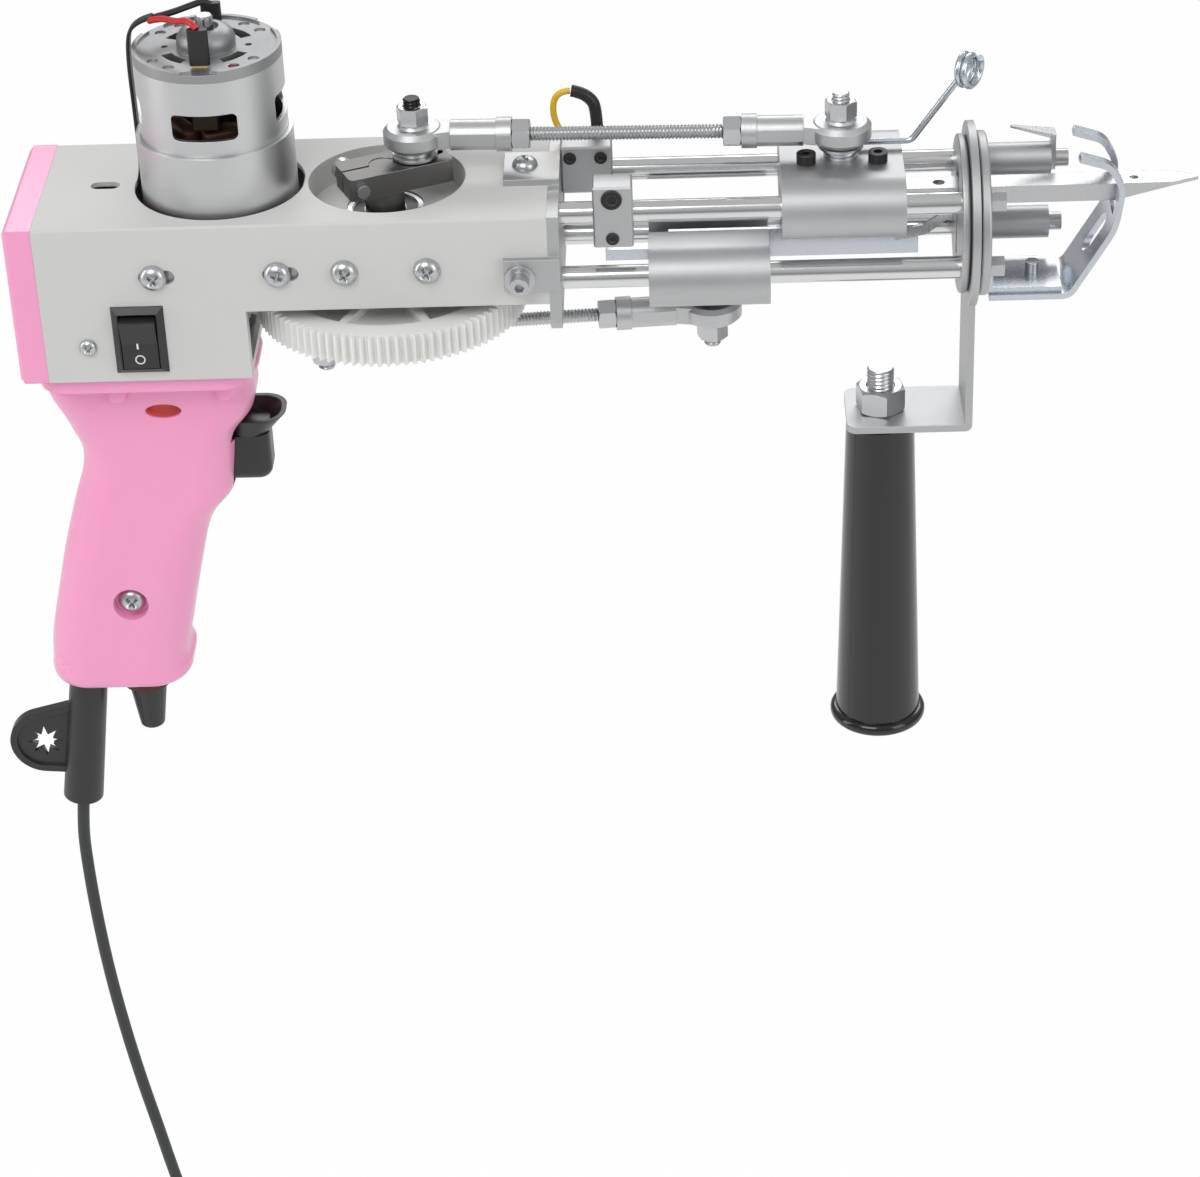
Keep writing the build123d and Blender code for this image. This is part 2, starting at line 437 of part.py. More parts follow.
def main_housing():
    wall = HALF_WIDTH - SHEET
    shell = block(0, HOUSING_LENGTH, -HALF_WIDTH, HALF_WIDTH, -SLIM_HEIGHT, 0)
    shell += block(0, REAR_LENGTH, -HALF_WIDTH, HALF_WIDTH, -REAR_HEIGHT, 0)
    shell = fillet(shell.edges().filter_by(Axis.X).group_by(Axis.Z)[-1], FOLD_RADIUS)
    shell -= block(-OVERRUN, HOUSING_LENGTH + OVERRUN, -wall, wall, -SLIM_HEIGHT, -SHEET)
    shell -= block(-OVERRUN, REAR_LENGTH - SHEET, -wall, wall, -REAR_HEIGHT - OVERRUN, -SHEET)
    shell -= post(MOTOR_X, 0, -SHEET - OVERRUN, OVERRUN, MOTOR_HOLE_R)
    shell -= post(DISH_X, 0, -SHEET - OVERRUN, OVERRUN, DISH_R)
    shell -= post(TAB_SCREW_X, TAB_SCREW_Y, -SHEET - OVERRUN, OVERRUN, TAB_SCREW[2] + RUN_FIT)
    oval = Pos(OVAL_X, 0, -SHEET - OVERRUN) * SlotOverall(OVAL_LENGTH, OVAL_WIDTH)
    shell -= extrude(oval, SHEET + OVERRUN + OVERRUN)
    shell -= block(
        REAR_LENGTH - SHEET - OVERRUN, REAR_LENGTH + OVERRUN,
        -MESH_WINDOW_WIDTH / 2, MESH_WINDOW_WIDTH / 2,
        -SLIM_HEIGHT - MESH_WINDOW_HEIGHT, -SLIM_HEIGHT,
    )
    for side in (-1, 1):
        for x in MOTOR_SCREWS_X:
            start = facing(x + SLOT_SHIFT, side * (wall - OVERRUN), SIDE_SCREW_Z, (0, side, 0))
            shell -= extrude(start * SlotOverall(SLOT_LENGTH, SLOT_WIDTH), SHEET + OVERRUN + OVERRUN)
        holes = [(x, SIDE_SCREW_Z, SIDE_SCREW[2]) for x in BLOCK_SCREWS_X]
        holes += [(SMALL_SCREW_X, SMALL_SCREW_Z, SMALL_SCREW[2])]
        holes += [(HEAD_SCREW_X, HEAD_SCREW_Z, CAP_SHANK_R)]
        for x, z, radius in holes:
            inside = (x, side * (wall - OVERRUN), z)
            outside = (x, side * (HALF_WIDTH + OVERRUN), z)
            shell -= rod(inside, outside, radius + RUN_FIT)
    shell -= switch_space(-HALF_WIDTH - OVERRUN, EDGE_GAP)
    return shell


def switch_space(front_y, clearance):
    half_width = SWITCH_BODY_WIDTH / 2 + clearance
    half_height = SWITCH_BODY_HEIGHT / 2 + clearance
    back_y = -HALF_WIDTH + SWITCH_BODY_DEPTH
    return block(SWITCH_X - half_width, SWITCH_X + half_width, front_y, back_y,
                 SWITCH_Z - half_height, SWITCH_Z + half_height)


def rear_cap():
    cap = block(-CAP_DEPTH, 0, -HALF_WIDTH, HALF_WIDTH, -REAR_HEIGHT, 0)
    cap = chamfer(cap.faces().sort_by(Axis.X)[0].edges(), CAP_BEVEL)
    lip_half = HALF_WIDTH - SHEET - SEAT_GAP
    lip_bottom = -REAR_HEIGHT + BASE_PLATE + SEAT_GAP
    cap += block(-CAP_WALL, CAP_LIP, -lip_half, lip_half, lip_bottom, -SHEET - SEAT_GAP)
    inner_half = lip_half - CAP_WALL
    return cap - block(CAP_WALL - CAP_DEPTH, CAP_LIP + OVERRUN, -inner_half, inner_half,
                       lip_bottom + CAP_WALL, -SHEET - SEAT_GAP - CAP_WALL)


def mount_plate():
    plate = block(MOUNT_PLATE_START, HEAD_X - ROD_STUB - SEAT_GAP, -INNER_HALF, INNER_HALF,
                  -SLIM_HEIGHT, MOTOR_BASE)
    plate -= switch_space(-HALF_WIDTH, EDGE_GAP)
    plate -= post(MOTOR_X, 0, -SLIM_HEIGHT - OVERRUN, MOTOR_BASE + OVERRUN, SHAFT_BOSS_R + EDGE_GAP)
    return plate - post(CRANK_X, 0, -SLIM_HEIGHT - OVERRUN, MOTOR_BASE + OVERRUN, BEARING_OUTER_R)


def base_plate():
    front = REAR_LENGTH - SHEET - EDGE_GAP
    plate = block(EDGE_GAP, front, -INNER_HALF, INNER_HALF, -REAR_HEIGHT, -REAR_HEIGHT + BASE_PLATE)
    plate -= post(WIRE_HOLE_X, 0, -REAR_HEIGHT - OVERRUN, -REAR_HEIGHT + OVERRUN, WIRE_HOLE_R)
    for side in (-1, 1):
        y0, y1 = sorted((side * INNER_HALF, side * (INNER_HALF - BASE_PLATE)))
        ear = block(EAR_START, EAR_END, y0, y1, -REAR_HEIGHT, EAR_TOP)
        inside = (SMALL_SCREW_X, 0, SMALL_SCREW_Z)
        outside = (SMALL_SCREW_X, side * HALF_WIDTH, SMALL_SCREW_Z)
        plate += ear - rod(inside, outside, SMALL_SCREW[2] + RUN_FIT)
    return plate


def side_holes(xs):
    cutters = []
    for side in (-1, 1):
        for x in xs:
            tip = side * (HALF_WIDTH - SIDE_SCREW[3] - EDGE_GAP)
            outside = side * (HALF_WIDTH + OVERRUN)
            cutters.append(rod((x, tip, SIDE_SCREW_Z), (x, outside, SIDE_SCREW_Z),
                               SIDE_SCREW[2] + RUN_FIT))
    return cutters


def motor_block():
    solid = block(MOTOR_X - MOTOR_BLOCK_LENGTH / 2, MOTOR_X + MOTOR_BLOCK_LENGTH / 2,
                  -INNER_HALF, INNER_HALF, MOTOR_BASE, MOTOR_BLOCK_TOP)
    solid -= post(MOTOR_X, 0, MOTOR_BASE - OVERRUN, OVERRUN, CAN_R + RUN_FIT)
    solid -= post(MOTOR_X, 0, FLUX_BOTTOM, OVERRUN, FLUX_R + RUN_FIT)
    for hole in side_holes(MOTOR_SCREWS_X):
        solid -= hole
    return solid


def bearing_block():
    start = MOTOR_X + MOTOR_BLOCK_LENGTH / 2 + BLOCK_GAP
    solid = block(start, start + BEARING_BLOCK_LENGTH, -INNER_HALF, INNER_HALF, MOTOR_BASE, -SHEET)
    solid -= post(DISH_X, 0, DISH_FLOOR, OVERRUN, DISH_R)
    solid -= post(CRANK_X, 0, MOTOR_BASE - OVERRUN, OVERRUN, BEARING_OUTER_R)
    for bottom in BEARING_BOTTOMS:
        solid -= post(CRANK_X, 0, bottom, bottom + BEARING_WIDTH, BEARING_R)
    solid -= post(CRANK_X, 0, DISH_FLOOR - BEARING_SINK - BEARING_WIDTH, OVERRUN, BEARING_R)
    for hole in side_holes(BLOCK_SCREWS_X):
        solid -= hole
    return solid


def bearing(bottom):
    race = ring(CRANK_X, 0, bottom, bottom + BEARING_WIDTH, BEARING_R, BEARING_BORE_R)
    shield = ring(CRANK_X, 0, 0, SHIELD_DEPTH, BEARING_OUTER_R, BEARING_INNER_R)
    race -= Pos(0, 0, bottom + BEARING_WIDTH - SHIELD_DEPTH) * shield
    return race - Pos(0, 0, bottom) * shield


def side_screws():
    screws = []
    for side in (-1, 1):
        for x in MOTOR_SCREWS_X + BLOCK_SCREWS_X:
            seat = facing(x, side * HALF_WIDTH, SIDE_SCREW_Z, (0, side, 0))
            screws.append(seat * cross_screw(SIDE_SCREW))
        seat = facing(SMALL_SCREW_X, side * HALF_WIDTH, SMALL_SCREW_Z, (0, side, 0))
        screws.append(seat * cross_screw(SMALL_SCREW))
    screws.append(Pos(TAB_SCREW_X, TAB_SCREW_Y, TAB_SHEET) * cross_screw(TAB_SCREW))
    return screws


# Motor

def motor_can():
    can = post(MOTOR_X, 0, MOTOR_BASE, CAN_TOP, CAN_R)
    can -= post(MOTOR_X, 0, MOTOR_BASE + CAN_WALL, CAN_TOP + OVERRUN, CAN_R - CAN_WALL)
    can += post(MOTOR_X, 0, -SLIM_HEIGHT, MOTOR_BASE + CAN_WALL, SHAFT_BOSS_R)
    can -= post(MOTOR_X, 0, -SLIM_HEIGHT - OVERRUN, OVERRUN, MOTOR_SHAFT_R + RUN_FIT)
    window = RectangleRounded(WINDOW_WIDTH, WINDOW_HEIGHT, WINDOW_CORNER)
    for i in range(WINDOW_COUNT):
        turn = Pos(MOTOR_X, 0, 0) * Rot(0, 0, i * 360 / WINDOW_COUNT)
        start = Plane(origin=(CAN_R / 2, 0, WINDOW_BOTTOM + WINDOW_HEIGHT / 2),
                      x_dir=(0, 1, 0), z_dir=(1, 0, 0))
        can -= turn * extrude(start * window, CAN_R)
    return can


def motor_end_cap():
    top = CAN_TOP + END_PLATE
    cap = post(MOTOR_X, 0, CAN_TOP, top, CAN_R)
    cap += ring(MOTOR_X, 0, top, top + RIM_LIP, CAN_R, CAN_R - CAN_WALL)
    hub = post(MOTOR_X, 0, CAN_TOP, top + HUB_RISE, HUB_BASE_R)
    cap += fillet(hub.edges().sort_by(Axis.Z)[-1], HUB_BASE_R - HUB_NECK_R - WELD)
    cap -= post(MOTOR_X, 0, CAN_TOP - OVERRUN, top + HUB_RISE + OVERRUN, MOTOR_SHAFT_R + RUN_FIT)
    cap -= post(MOTOR_X, 0, top + HUB_RISE - HUB_WALL, top + HUB_RISE + OVERRUN, HUB_NECK_R)
    for angle in DIMPLE_ANGLES:
        x = MOTOR_X + DIMPLE_RING_R * cos(radians(angle))
        y = DIMPLE_RING_R * sin(radians(angle))
        cap -= post(x, y, top - DIMPLE_DEPTH, top + OVERRUN, DIMPLE_R)
    for angle in SMALL_VENT_ANGLES:
        x = MOTOR_X + SMALL_VENT_RING_R * cos(radians(angle))
        y = SMALL_VENT_RING_R * sin(radians(angle))
        cap -= post(x, y, CAN_TOP - OVERRUN, top + OVERRUN, SMALL_VENT_R)
    for angle in RIM_NOTCH_ANGLES:
        notch = block(CAN_R - CAN_WALL - EDGE_GAP, CAN_R + OVERRUN, -RIM_NOTCH_HALF, RIM_NOTCH_HALF,
                      top, top + OVERRUN)
        cap -= Pos(MOTOR_X, 0, 0) * Rot(0, 0, angle) * notch
    band = ring(MOTOR_X, 0, CAN_TOP - OVERRUN, top + OVERRUN, VENT_OUTER_R, VENT_INNER_R)
    for i in range(VENT_COUNT):
        wedge = Pos(MOTOR_X, 0, CAN_TOP - OVERRUN) * Rot(0, 0, (i + 1 / 2) * 360 / VENT_COUNT)
        reach = VENT_OUTER_R + OVERRUN
        spread = reach * tan(radians(VENT_SPAN / 2))
        outline = Polyline((0, 0), (reach, -spread), (reach, spread), close=True)
        cap -= band & (wedge * extrude(make_face(outline), END_PLATE + OVERRUN + OVERRUN))
    for side in (-1, 1):
        y0, y1 = sorted((side * BRUSH_START, side * BRUSH_END))
        cap += block(MOTOR_X - BRUSH_HALF, MOTOR_X + BRUSH_HALF, y0, y1, BRUSH_BOTTOM, CAN_TOP)
        cap -= terminal(side, EDGE_GAP / 2)
    return cap


def terminal(side, clearance=0.0):
    half = TERMINAL_WIDTH / 2 + clearance
    y = side * TERMINAL_Y
    thick = TERMINAL_THICK / 2 + clearance
    top = CAN_TOP + END_PLATE + TERMINAL_RISE + clearance
    return block(MOTOR_X - half, MOTOR_X + half, y - thick, y + thick, CAN_TOP, top)


def motor_armature():
    shaft = post(MOTOR_X, 0, GEAR_BOTTOM, MOTOR_SHAFT_TOP, MOTOR_SHAFT_R)
    shaft += post(MOTOR_X, 0, ROTOR_BOTTOM, ROTOR_BOTTOM + ROTOR_LENGTH, ROTOR_R)
    top = COMMUTATOR_BOTTOM + COMMUTATOR_LENGTH
    return shaft + post(MOTOR_X, 0, ROTOR_BOTTOM, top, COMMUTATOR_R)


# Gears and crank

def gear_outline(teeth, first_angle):
    pitch_r = GEAR_MODULE * teeth / 2
    base_r = pitch_r * cos(radians(PRESSURE_ANGLE))
    tip_r = pitch_r + GEAR_MODULE * ADDENDUM_SHARE
    root_r = pitch_r - GEAR_MODULE * DEDENDUM_SHARE
    half_pitch_tooth = (pi * GEAR_MODULE / 2 - BACKLASH / 2) / (2 * pitch_r)

    def involute(radius):
        pressure = acos(base_r / max(radius, base_r))
        return tan(pressure) - pressure

    def half_tooth(radius):
        return half_pitch_tooth + involute(pitch_r) - involute(radius)

    points = []
    for i in range(teeth):
        middle = radians(first_angle) + 2 * pi * i / teeth
        for radius in (root_r, pitch_r, tip_r):
            points.append((radius, middle - half_tooth(radius)))
        for radius in (tip_r, pitch_r, root_r):
            points.append((radius, middle + half_tooth(radius)))
    outline = Polyline(*[(r * cos(a), r * sin(a)) for r, a in points], close=True)
    return make_face(outline)


def drive_gear():
    gear = Pos(CRANK_X, 0, GEAR_BOTTOM) * extrude(gear_outline(GEAR_TEETH, GEAR_FIRST_TOOTH), GEAR_FACE)
    depth = (GEAR_FACE - GEAR_WEB) / 2
    for low, high in ((GEAR_TOP - depth, GEAR_TOP + OVERRUN), (GEAR_BOTTOM - OVERRUN, GEAR_BOTTOM + depth)):
        recess = ring(CRANK_X, 0, low, high, GEAR_RIM_R, GEAR_HUB_R)
        for i in range(GEAR_RIBS):
            turn = Pos(CRANK_X, 0, 0) * Rot(0, 0, (i + 1 / 2) * 360 / GEAR_RIBS)
            recess -= turn * block(0, GEAR_RIM_R, -GEAR_RIB_WIDTH / 2, GEAR_RIB_WIDTH / 2, low, high)
        gear -= recess
    gear += post(LOWER_PIN_X, LOWER_PIN_Y, GEAR_BOTTOM, GEAR_TOP - depth, GEAR_BOSS_R)
    return gear - post(CRANK_X, 0, GEAR_BOTTOM - OVERRUN, GEAR_TOP + OVERRUN, SHAFT_R + RUN_FIT)


def motor_pinion():
    pinion = extrude(gear_outline(PINION_TEETH, 0), PINION_FACE)
    pinion = Pos(MOTOR_X, 0, GEAR_BOTTOM) * pinion
    return pinion - post(MOTOR_X, 0, GEAR_BOTTOM - OVERRUN, GEAR_TOP + OVERRUN, MOTOR_SHAFT_R + RUN_FIT)


def crankshaft():
    shaft = post(CRANK_X, 0, GEAR_BOTTOM, ARM_TOP - EDGE_GAP, SHAFT_R)
    collar_bottom = DISH_FLOOR - BEARING_SINK + EDGE_GAP / 2
    shaft += post(CRANK_X, 0, collar_bottom, ARM_TOP - ARM_THICK, INNER_RING_R)
    return shaft + post(CRANK_X, 0, GEAR_TOP, BEARING_BOTTOMS[0] - EDGE_GAP / 2, INNER_RING_R)


def along_arm(shape):
    return Pos(CRANK_X, 0, 0) * Rot(0, 0, CRANK_ANGLE) * shape


def crank_arm():
    low, high = ARM_TOP - ARM_THICK, ARM_TOP
    arm = block(-ARM_TAIL, ARM_NOSE, -ARM_WIDTH / 2, ARM_WIDTH / 2, low, high)
    arm = fillet(arm.edges().filter_by(Axis.Z), ARM_CORNER)
    arm -= post(0, 0, low - OVERRUN, high + OVERRUN, SHAFT_R + RUN_FIT)
    arm -= block(-ARM_TAIL - OVERRUN, 0, -ARM_SLIT / 2, ARM_SLIT / 2, low - OVERRUN, high + OVERRUN)
    arm -= post(ARM_NOSE - ARM_HOLE_INSET, 0, low - OVERRUN, high + OVERRUN, ARM_HOLE_R)
    start = (PINCH_INSET - ARM_TAIL, -ARM_WIDTH, ARM_TOP - PINCH_DROP)
    end = (PINCH_INSET - ARM_TAIL, ARM_WIDTH, ARM_TOP - PINCH_DROP)
    return along_arm(arm - rod(start, end, PINCH_R + RUN_FIT))


def crank_pinch_bolt():
    x, z = PINCH_INSET - ARM_TAIL, ARM_TOP - PINCH_DROP
    seat = facing(x, ARM_WIDTH / 2, z, (0, 1, 0))
    bolt = seat * cap_screw(PINCH_HEAD_R, PINCH_HEAD, CAP_SOCKET_FLATS, PINCH_R, ARM_WIDTH + PINCH_TIP)
    return along_arm(bolt)


# Connecting rods

def rod_end(shank_r, collar_r):
    # Lies along X with the eye at the origin, the threaded side towards +X
    eye = Pos(0, 0, -EYE_THICK / 2) * Cylinder(EYE_R, EYE_THICK, align=BASE)
    body = chamfer(eye.edges(), EYE_BEVEL)
    wedge = Polyline((0, -NECK_WIDTH / 2), (SHANK_START, -SHANK_FLAT / 2 + WELD),
                     (SHANK_START, SHANK_FLAT / 2 - WELD), (0, NECK_WIDTH / 2), close=True)
    body += Pos(0, 0, -EYE_THICK / 2 + WELD) * extrude(make_face(wedge), EYE_THICK - 2 * WELD)
    shank = rod((SHANK_START - WELD, 0, 0), (COLLAR_START, 0, 0), shank_r)
    flat = SHANK_FLAT / 2
    body += shank & block(0, COLLAR_START, -flat, flat, -shank_r, shank_r)
    collar_end = COLLAR_START + COLLAR_LENGTH
    body += rod((COLLAR_START, 0, 0), (collar_end, 0, 0), collar_r)
    body += Sphere(BALL_R) & block(-BALL_R, BALL_R, -BALL_R, BALL_R, -BALL_HALF, BALL_HALF)
    body -= rod((collar_end - ROD_DEPTH, 0, 0), (collar_end + OVERRUN, 0, 0), ROD_R + RUN_FIT)
    return body - post(0, 0, -EYE_THICK, EYE_THICK, STUD_R + RUN_FIT)


def connecting_rod(pin, stud_x, z, crank_shank_r, crank_collar_r):
    length = hypot(stud_x - pin[0], pin[1])
    place = Pos(pin[0], pin[1], z) * Rot(0, 0, degrees(atan2(-pin[1], stud_x - pin[0])))
    collar_end = COLLAR_START + COLLAR_LENGTH
    near = rod_end(crank_shank_r, crank_collar_r)
    far = Pos(length, 0, 0) * Rot(0, 0, 180) * rod_end(SHANK_R, ROD_COLLAR_R)
    bar_start = collar_end - ROD_DEPTH + EDGE_GAP
    bar = rod((bar_start, 0, 0), (length - bar_start, 0, 0), ROD_R)
    nuts = []
    for x in (collar_end, length - collar_end - LOCK_NUT_LENGTH):
        end = Plane(origin=(x, 0, 0), x_dir=(0, 1, 0), z_dir=(1, 0, 0))
        nuts.append(nut(end, NUT_FLATS, LOCK_NUT_LENGTH, ROD_R + RUN_FIT))
    return [place * near, place * far], [place * bar], [place * n for n in nuts]


def stud(x, y, foot, tip, up):
    # A stud with a slightly domed tip, its foot resting on a washer or in a block
    low, high = sorted((foot, tip))
    bolt = post(x, y, low, high, STUD_R)
    return chamfer(bolt.edges().sort_by(Axis.Z)[-1 if up else 0], STUD_CHAMFER)


# Carriages, needle and cutter

def slot_profile(half_width, radius):
    return SlotOverall(2 * half_width, 2 * radius)


def carriage_body(start, length, z):
    face = Plane(origin=(start, 0, z), x_dir=(0, 1, 0), z_dir=(1, 0, 0))
    body = extrude(face * slot_profile(GUIDE_Y + TUBE_R, TUBE_R), length)
    for side in (-1, 1):
        y = side * GUIDE_Y
        body -= rod((start - OVERRUN, y, z), (start + length + OVERRUN, y, z), GUIDE_R + RUN_FIT)
    return body


def upper_carriage():
    end = UPPER_CARRIAGE_START + UPPER_CARRIAGE_LENGTH
    body = carriage_body(UPPER_CARRIAGE_START, UPPER_CARRIAGE_LENGTH, UPPER_GUIDE_Z)
    half = NEEDLE_WIDTH / 2 + RUN_FIT
    body -= block(UPPER_CARRIAGE_START - OVERRUN, end + OVERRUN, -half, half,
                  UPPER_GUIDE_Z - TUBE_R - OVERRUN, NEEDLE_TOP)
    for x in CAP_SCREWS_X:
        body -= post(x, CAP_SCREW_Y, UPPER_TOP - CAP_SHANK - EDGE_GAP, UPPER_TOP + OVERRUN,
                     CAP_SHANK_R + RUN_FIT)
    return body - post(UPPER_STUD_X, 0, NEEDLE_TOP, UPPER_TOP + OVERRUN, STUD_R + RUN_FIT)


def lower_carriage():
    end = LOWER_CARRIAGE_START + LOWER_CARRIAGE_LENGTH
    body = carriage_body(LOWER_CARRIAGE_START, LOWER_CARRIAGE_LENGTH, LOWER_GUIDE_Z)
    body -= block(LOWER_CARRIAGE_START - OVERRUN, end + OVERRUN, -CHANNEL_HALF, CHANNEL_HALF,
                  PLATE_BOTTOM, LOWER_GUIDE_Z + TUBE_R + OVERRUN)
    return body - post(LOWER_STUD_X, 0, LOWER_BOTTOM - OVERRUN, PLATE_BOTTOM - EDGE_GAP,
                       STUD_R + RUN_FIT)


def needle():
    half = NEEDLE_WIDTH / 2
    bar = block(NEEDLE_START, NEEDLE_TIP, -half, half, NEEDLE_BOTTOM, NEEDLE_TOP)
    bar -= block(NEEDLE_START - OVERRUN, NEEDLE_TIP + OVERRUN, NEEDLE_WALL - half, half - NEEDLE_WALL,
                 NEEDLE_BOTTOM - OVERRUN, NEEDLE_TOP - NEEDLE_WALL)
    slope = [
        (NEEDLE_SLOPE_START, NEEDLE_BOTTOM),
        (NEEDLE_SLOPE_END, NEEDLE_TOP - NEEDLE_WALL),
        (NEEDLE_TIP + OVERRUN, NEEDLE_TOP - NEEDLE_WALL),
        (NEEDLE_TIP + OVERRUN, NEEDLE_BOTTOM - OVERRUN),
        (NEEDLE_SLOPE_START, NEEDLE_BOTTOM - OVERRUN),
    ]
    bar -= side_view(slope, -half - OVERRUN, half + OVERRUN)
    for side in (-1, 1):
        corner = Polyline((NEEDLE_SLOPE_END, side * half), (NEEDLE_TIP, side * NEEDLE_TIP_HALF),
                          (NEEDLE_TIP + OVERRUN, side * NEEDLE_TIP_HALF),
                          (NEEDLE_TIP + OVERRUN, side * (half + OVERRUN)),
                          (NEEDLE_SLOPE_END, side * (half + OVERRUN)), close=True)
        bar -= Pos(0, 0, NEEDLE_BOTTOM) * extrude(make_face(corner), NEEDLE_DEPTH + OVERRUN, dir=(0, 0, 1))
    bar -= post(NEEDLE_EYE_X, 0, NEEDLE_BOTTOM, NEEDLE_TOP + OVERRUN, NEEDLE_EYE_R)
    return bar - post(NEEDLE_HOLE_X, 0, NEEDLE_BOTTOM, NEEDLE_TOP + OVERRUN, NEEDLE_HOLE_R)


def cutter_plate():
    outline = [
        (PLATE_START, PLATE_BOTTOM),
        (PLATE_START, PLATE_TAB_TOP),
        (PLATE_STEP_START, PLATE_TAB_TOP),
        (PLATE_STEP_END, PLATE_TOP),
        (PLATE_END, PLATE_TOP),
        (PLATE_END, PLATE_BOTTOM),
    ]
    return side_view(outline, -PLATE_THICK / 2, PLATE_THICK / 2)


def fixed_blade():
    back = -PLATE_THICK / 2
    blade = side_view(FIXED_BLADE, back - BLADE_THICK, back)
    pin_end = back + BLADE_CLEAR + BLADE_THICK + BLADE_CLEAR
    return blade + rod((BLADE_PIVOT_X, back - WELD, BLADE_PIVOT_Z),
                       (BLADE_PIVOT_X, pin_end, BLADE_PIVOT_Z), BLADE_PIVOT_R)


def moving_blade():
    front = -PLATE_THICK / 2 + BLADE_CLEAR
    blade = side_view(MOVING_BLADE, front, front + BLADE_THICK)
    return blade - rod((BLADE_PIVOT_X, front - OVERRUN, BLADE_PIVOT_Z),
                       (BLADE_PIVOT_X, front + OVERRUN, BLADE_PIVOT_Z), BLADE_PIVOT_R + RUN_FIT)


# Tubes that follow a path of arcs

def biarc(start, start_way, end, end_way):
    # Two arcs that join two points and are tangent to a direction at each
    chord = end - start
    both = start_way + end_way
    spread = 2 * (1 - start_way.dot(end_way))
    if spread < TINY:
        reach = chord.dot(chord) / (4 * chord.dot(end_way))
    else:
        reach = (sqrt(chord.dot(both) ** 2 + spread * chord.dot(chord)) - chord.dot(both)) / spread
    middle = (start + end + (start_way - end_way) * reach) * (1 / 2)
    way = ((end - end_way * reach) - (start + start_way * reach)).normalized()
    return [TangentArc(start, middle, tangent=start_way), TangentArc(middle, end, tangent=way)]


def tube(edges, radius):
    path = Wire(edges)
    section = Plane(origin=path @ 0, z_dir=path % 0) * Circle(radius)
    return sweep(section, path=path)


def bent_tube(points, bend_radius, radius):
    count = len(points) - 2
    path = FilletPolyline(*points, radius=[bend_radius] * count)
    return tube(path.edges(), radius)


def guide_wire():
    # Loops clockwise round the carriage's stud, leaves along X and ends in a pigtail
    hub = Vector(UPPER_STUD_X, 0, WIRE_Z)
    edges = []
    angles = [radians(WIRE_LOOP_START - i * WIRE_LOOP_STEP) for i in range(WIRE_LOOP_ARCS + 1)]
    spots = [hub + Vector(cos(a), sin(a), 0) * WIRE_LOOP_R for a in angles]
    ways = [Vector(sin(a), -cos(a), 0) for a in angles]
    for i in range(WIRE_LOOP_ARCS):
        edges += biarc(spots[i], ways[i], spots[i + 1], ways[i + 1])
    axis = Vector(cos(radians(PIGTAIL_YAW)), -sin(radians(PIGTAIL_YAW)), 0)
    back = Vector(sin(radians(PIGTAIL_YAW)), cos(radians(PIGTAIL_YAW)), 0)
    centre = Vector(PIGTAIL_X, 0, PIGTAIL_Z)
    quarters = 4 * PIGTAIL_TURNS
    rise = PIGTAIL_PITCH / (2 * pi)
    curl, curl_ways = [], []
    for i in range(quarters + 1):
        turned = i * pi / 2
        angle = radians(PIGTAIL_START) - turned
        out = Vector(0, 0, cos(angle)) + back * sin(angle)
        along = axis * (turned - quarters * pi / 4) * rise
        curl.append(centre + out * PIGTAIL_R + along)
        way = Vector(0, 0, sin(angle)) - back * cos(angle)
        curl_ways.append((way * PIGTAIL_R + axis * rise).normalized())
    corner = Vector(WIRE_BEND_X, WIRE_LOOP_R, WIRE_Z)
    before = curl[0] - curl_ways[0] * WIRE_LEAD
    line = FilletPolyline(spots[-1], corner, before, curl[0], radius=[WIRE_BEND_R, WIRE_BEND_R])
    edges += line.edges()
    for i in range(quarters):
        edges += biarc(curl[i], curl_ways[i], curl[i + 1], curl_ways[i + 1])
    return tube(edges, WIRE_R)


# Head plate, clamps, guide rods

def guide_rod(y, z):
    bar = rod((HEAD_X - ROD_STUB, y, z), (OUTER_X, y, z), GUIDE_R)
    return bar - rod((OUTER_X - ROD_BOLT_DEPTH - EDGE_GAP, y, z), (OUTER_X + OVERRUN, y, z),
                     ROD_BOLT_R + RUN_FIT)


def head_plate():
    plate = block(HEAD_X, HEAD_X + HEAD_SHEET, -HALF_WIDTH, HALF_WIDTH, HEAD_BOTTOM, 0)
    corners = plate.edges().filter_by(Axis.X).group_by(Axis.Z)[0]
    plate = chamfer(corners, HEAD_BEVEL)
    plate += block(HEAD_X - TAB_LENGTH, HEAD_X + HEAD_SHEET, TOP_TAB_Y0, TOP_TAB_Y1, 0, TAB_SHEET)
    for side in (-1, 1):
        y0, y1 = sorted((side * HALF_WIDTH, side * (HALF_WIDTH + TAB_SHEET)))
        tab = block(HEAD_X - TAB_LENGTH, HEAD_X + HEAD_SHEET, y0, y1, SIDE_TAB_Z0, SIDE_TAB_Z1)
        plate += tab - rod((HEAD_SCREW_X, y0 - OVERRUN, HEAD_SCREW_Z),
                           (HEAD_SCREW_X, y1 + OVERRUN, HEAD_SCREW_Z), CAP_SHANK_R + RUN_FIT)
    plate -= post(TAB_SCREW_X, TAB_SCREW_Y, -OVERRUN, TAB_SHEET + OVERRUN, TAB_SCREW[2] + RUN_FIT)
    for y, z in GUIDE_PLACES:
        plate -= rod((HEAD_X - OVERRUN, y, z), (HEAD_X + HEAD_SHEET + OVERRUN, y, z), GUIDE_R + RUN_FIT)
    opening = rod((HEAD_X - OVERRUN, *HEAD_OPENING), (HEAD_X + HEAD_SHEET + OVERRUN, *HEAD_OPENING),
                  HEAD_OPENING_R)
    return plate - opening


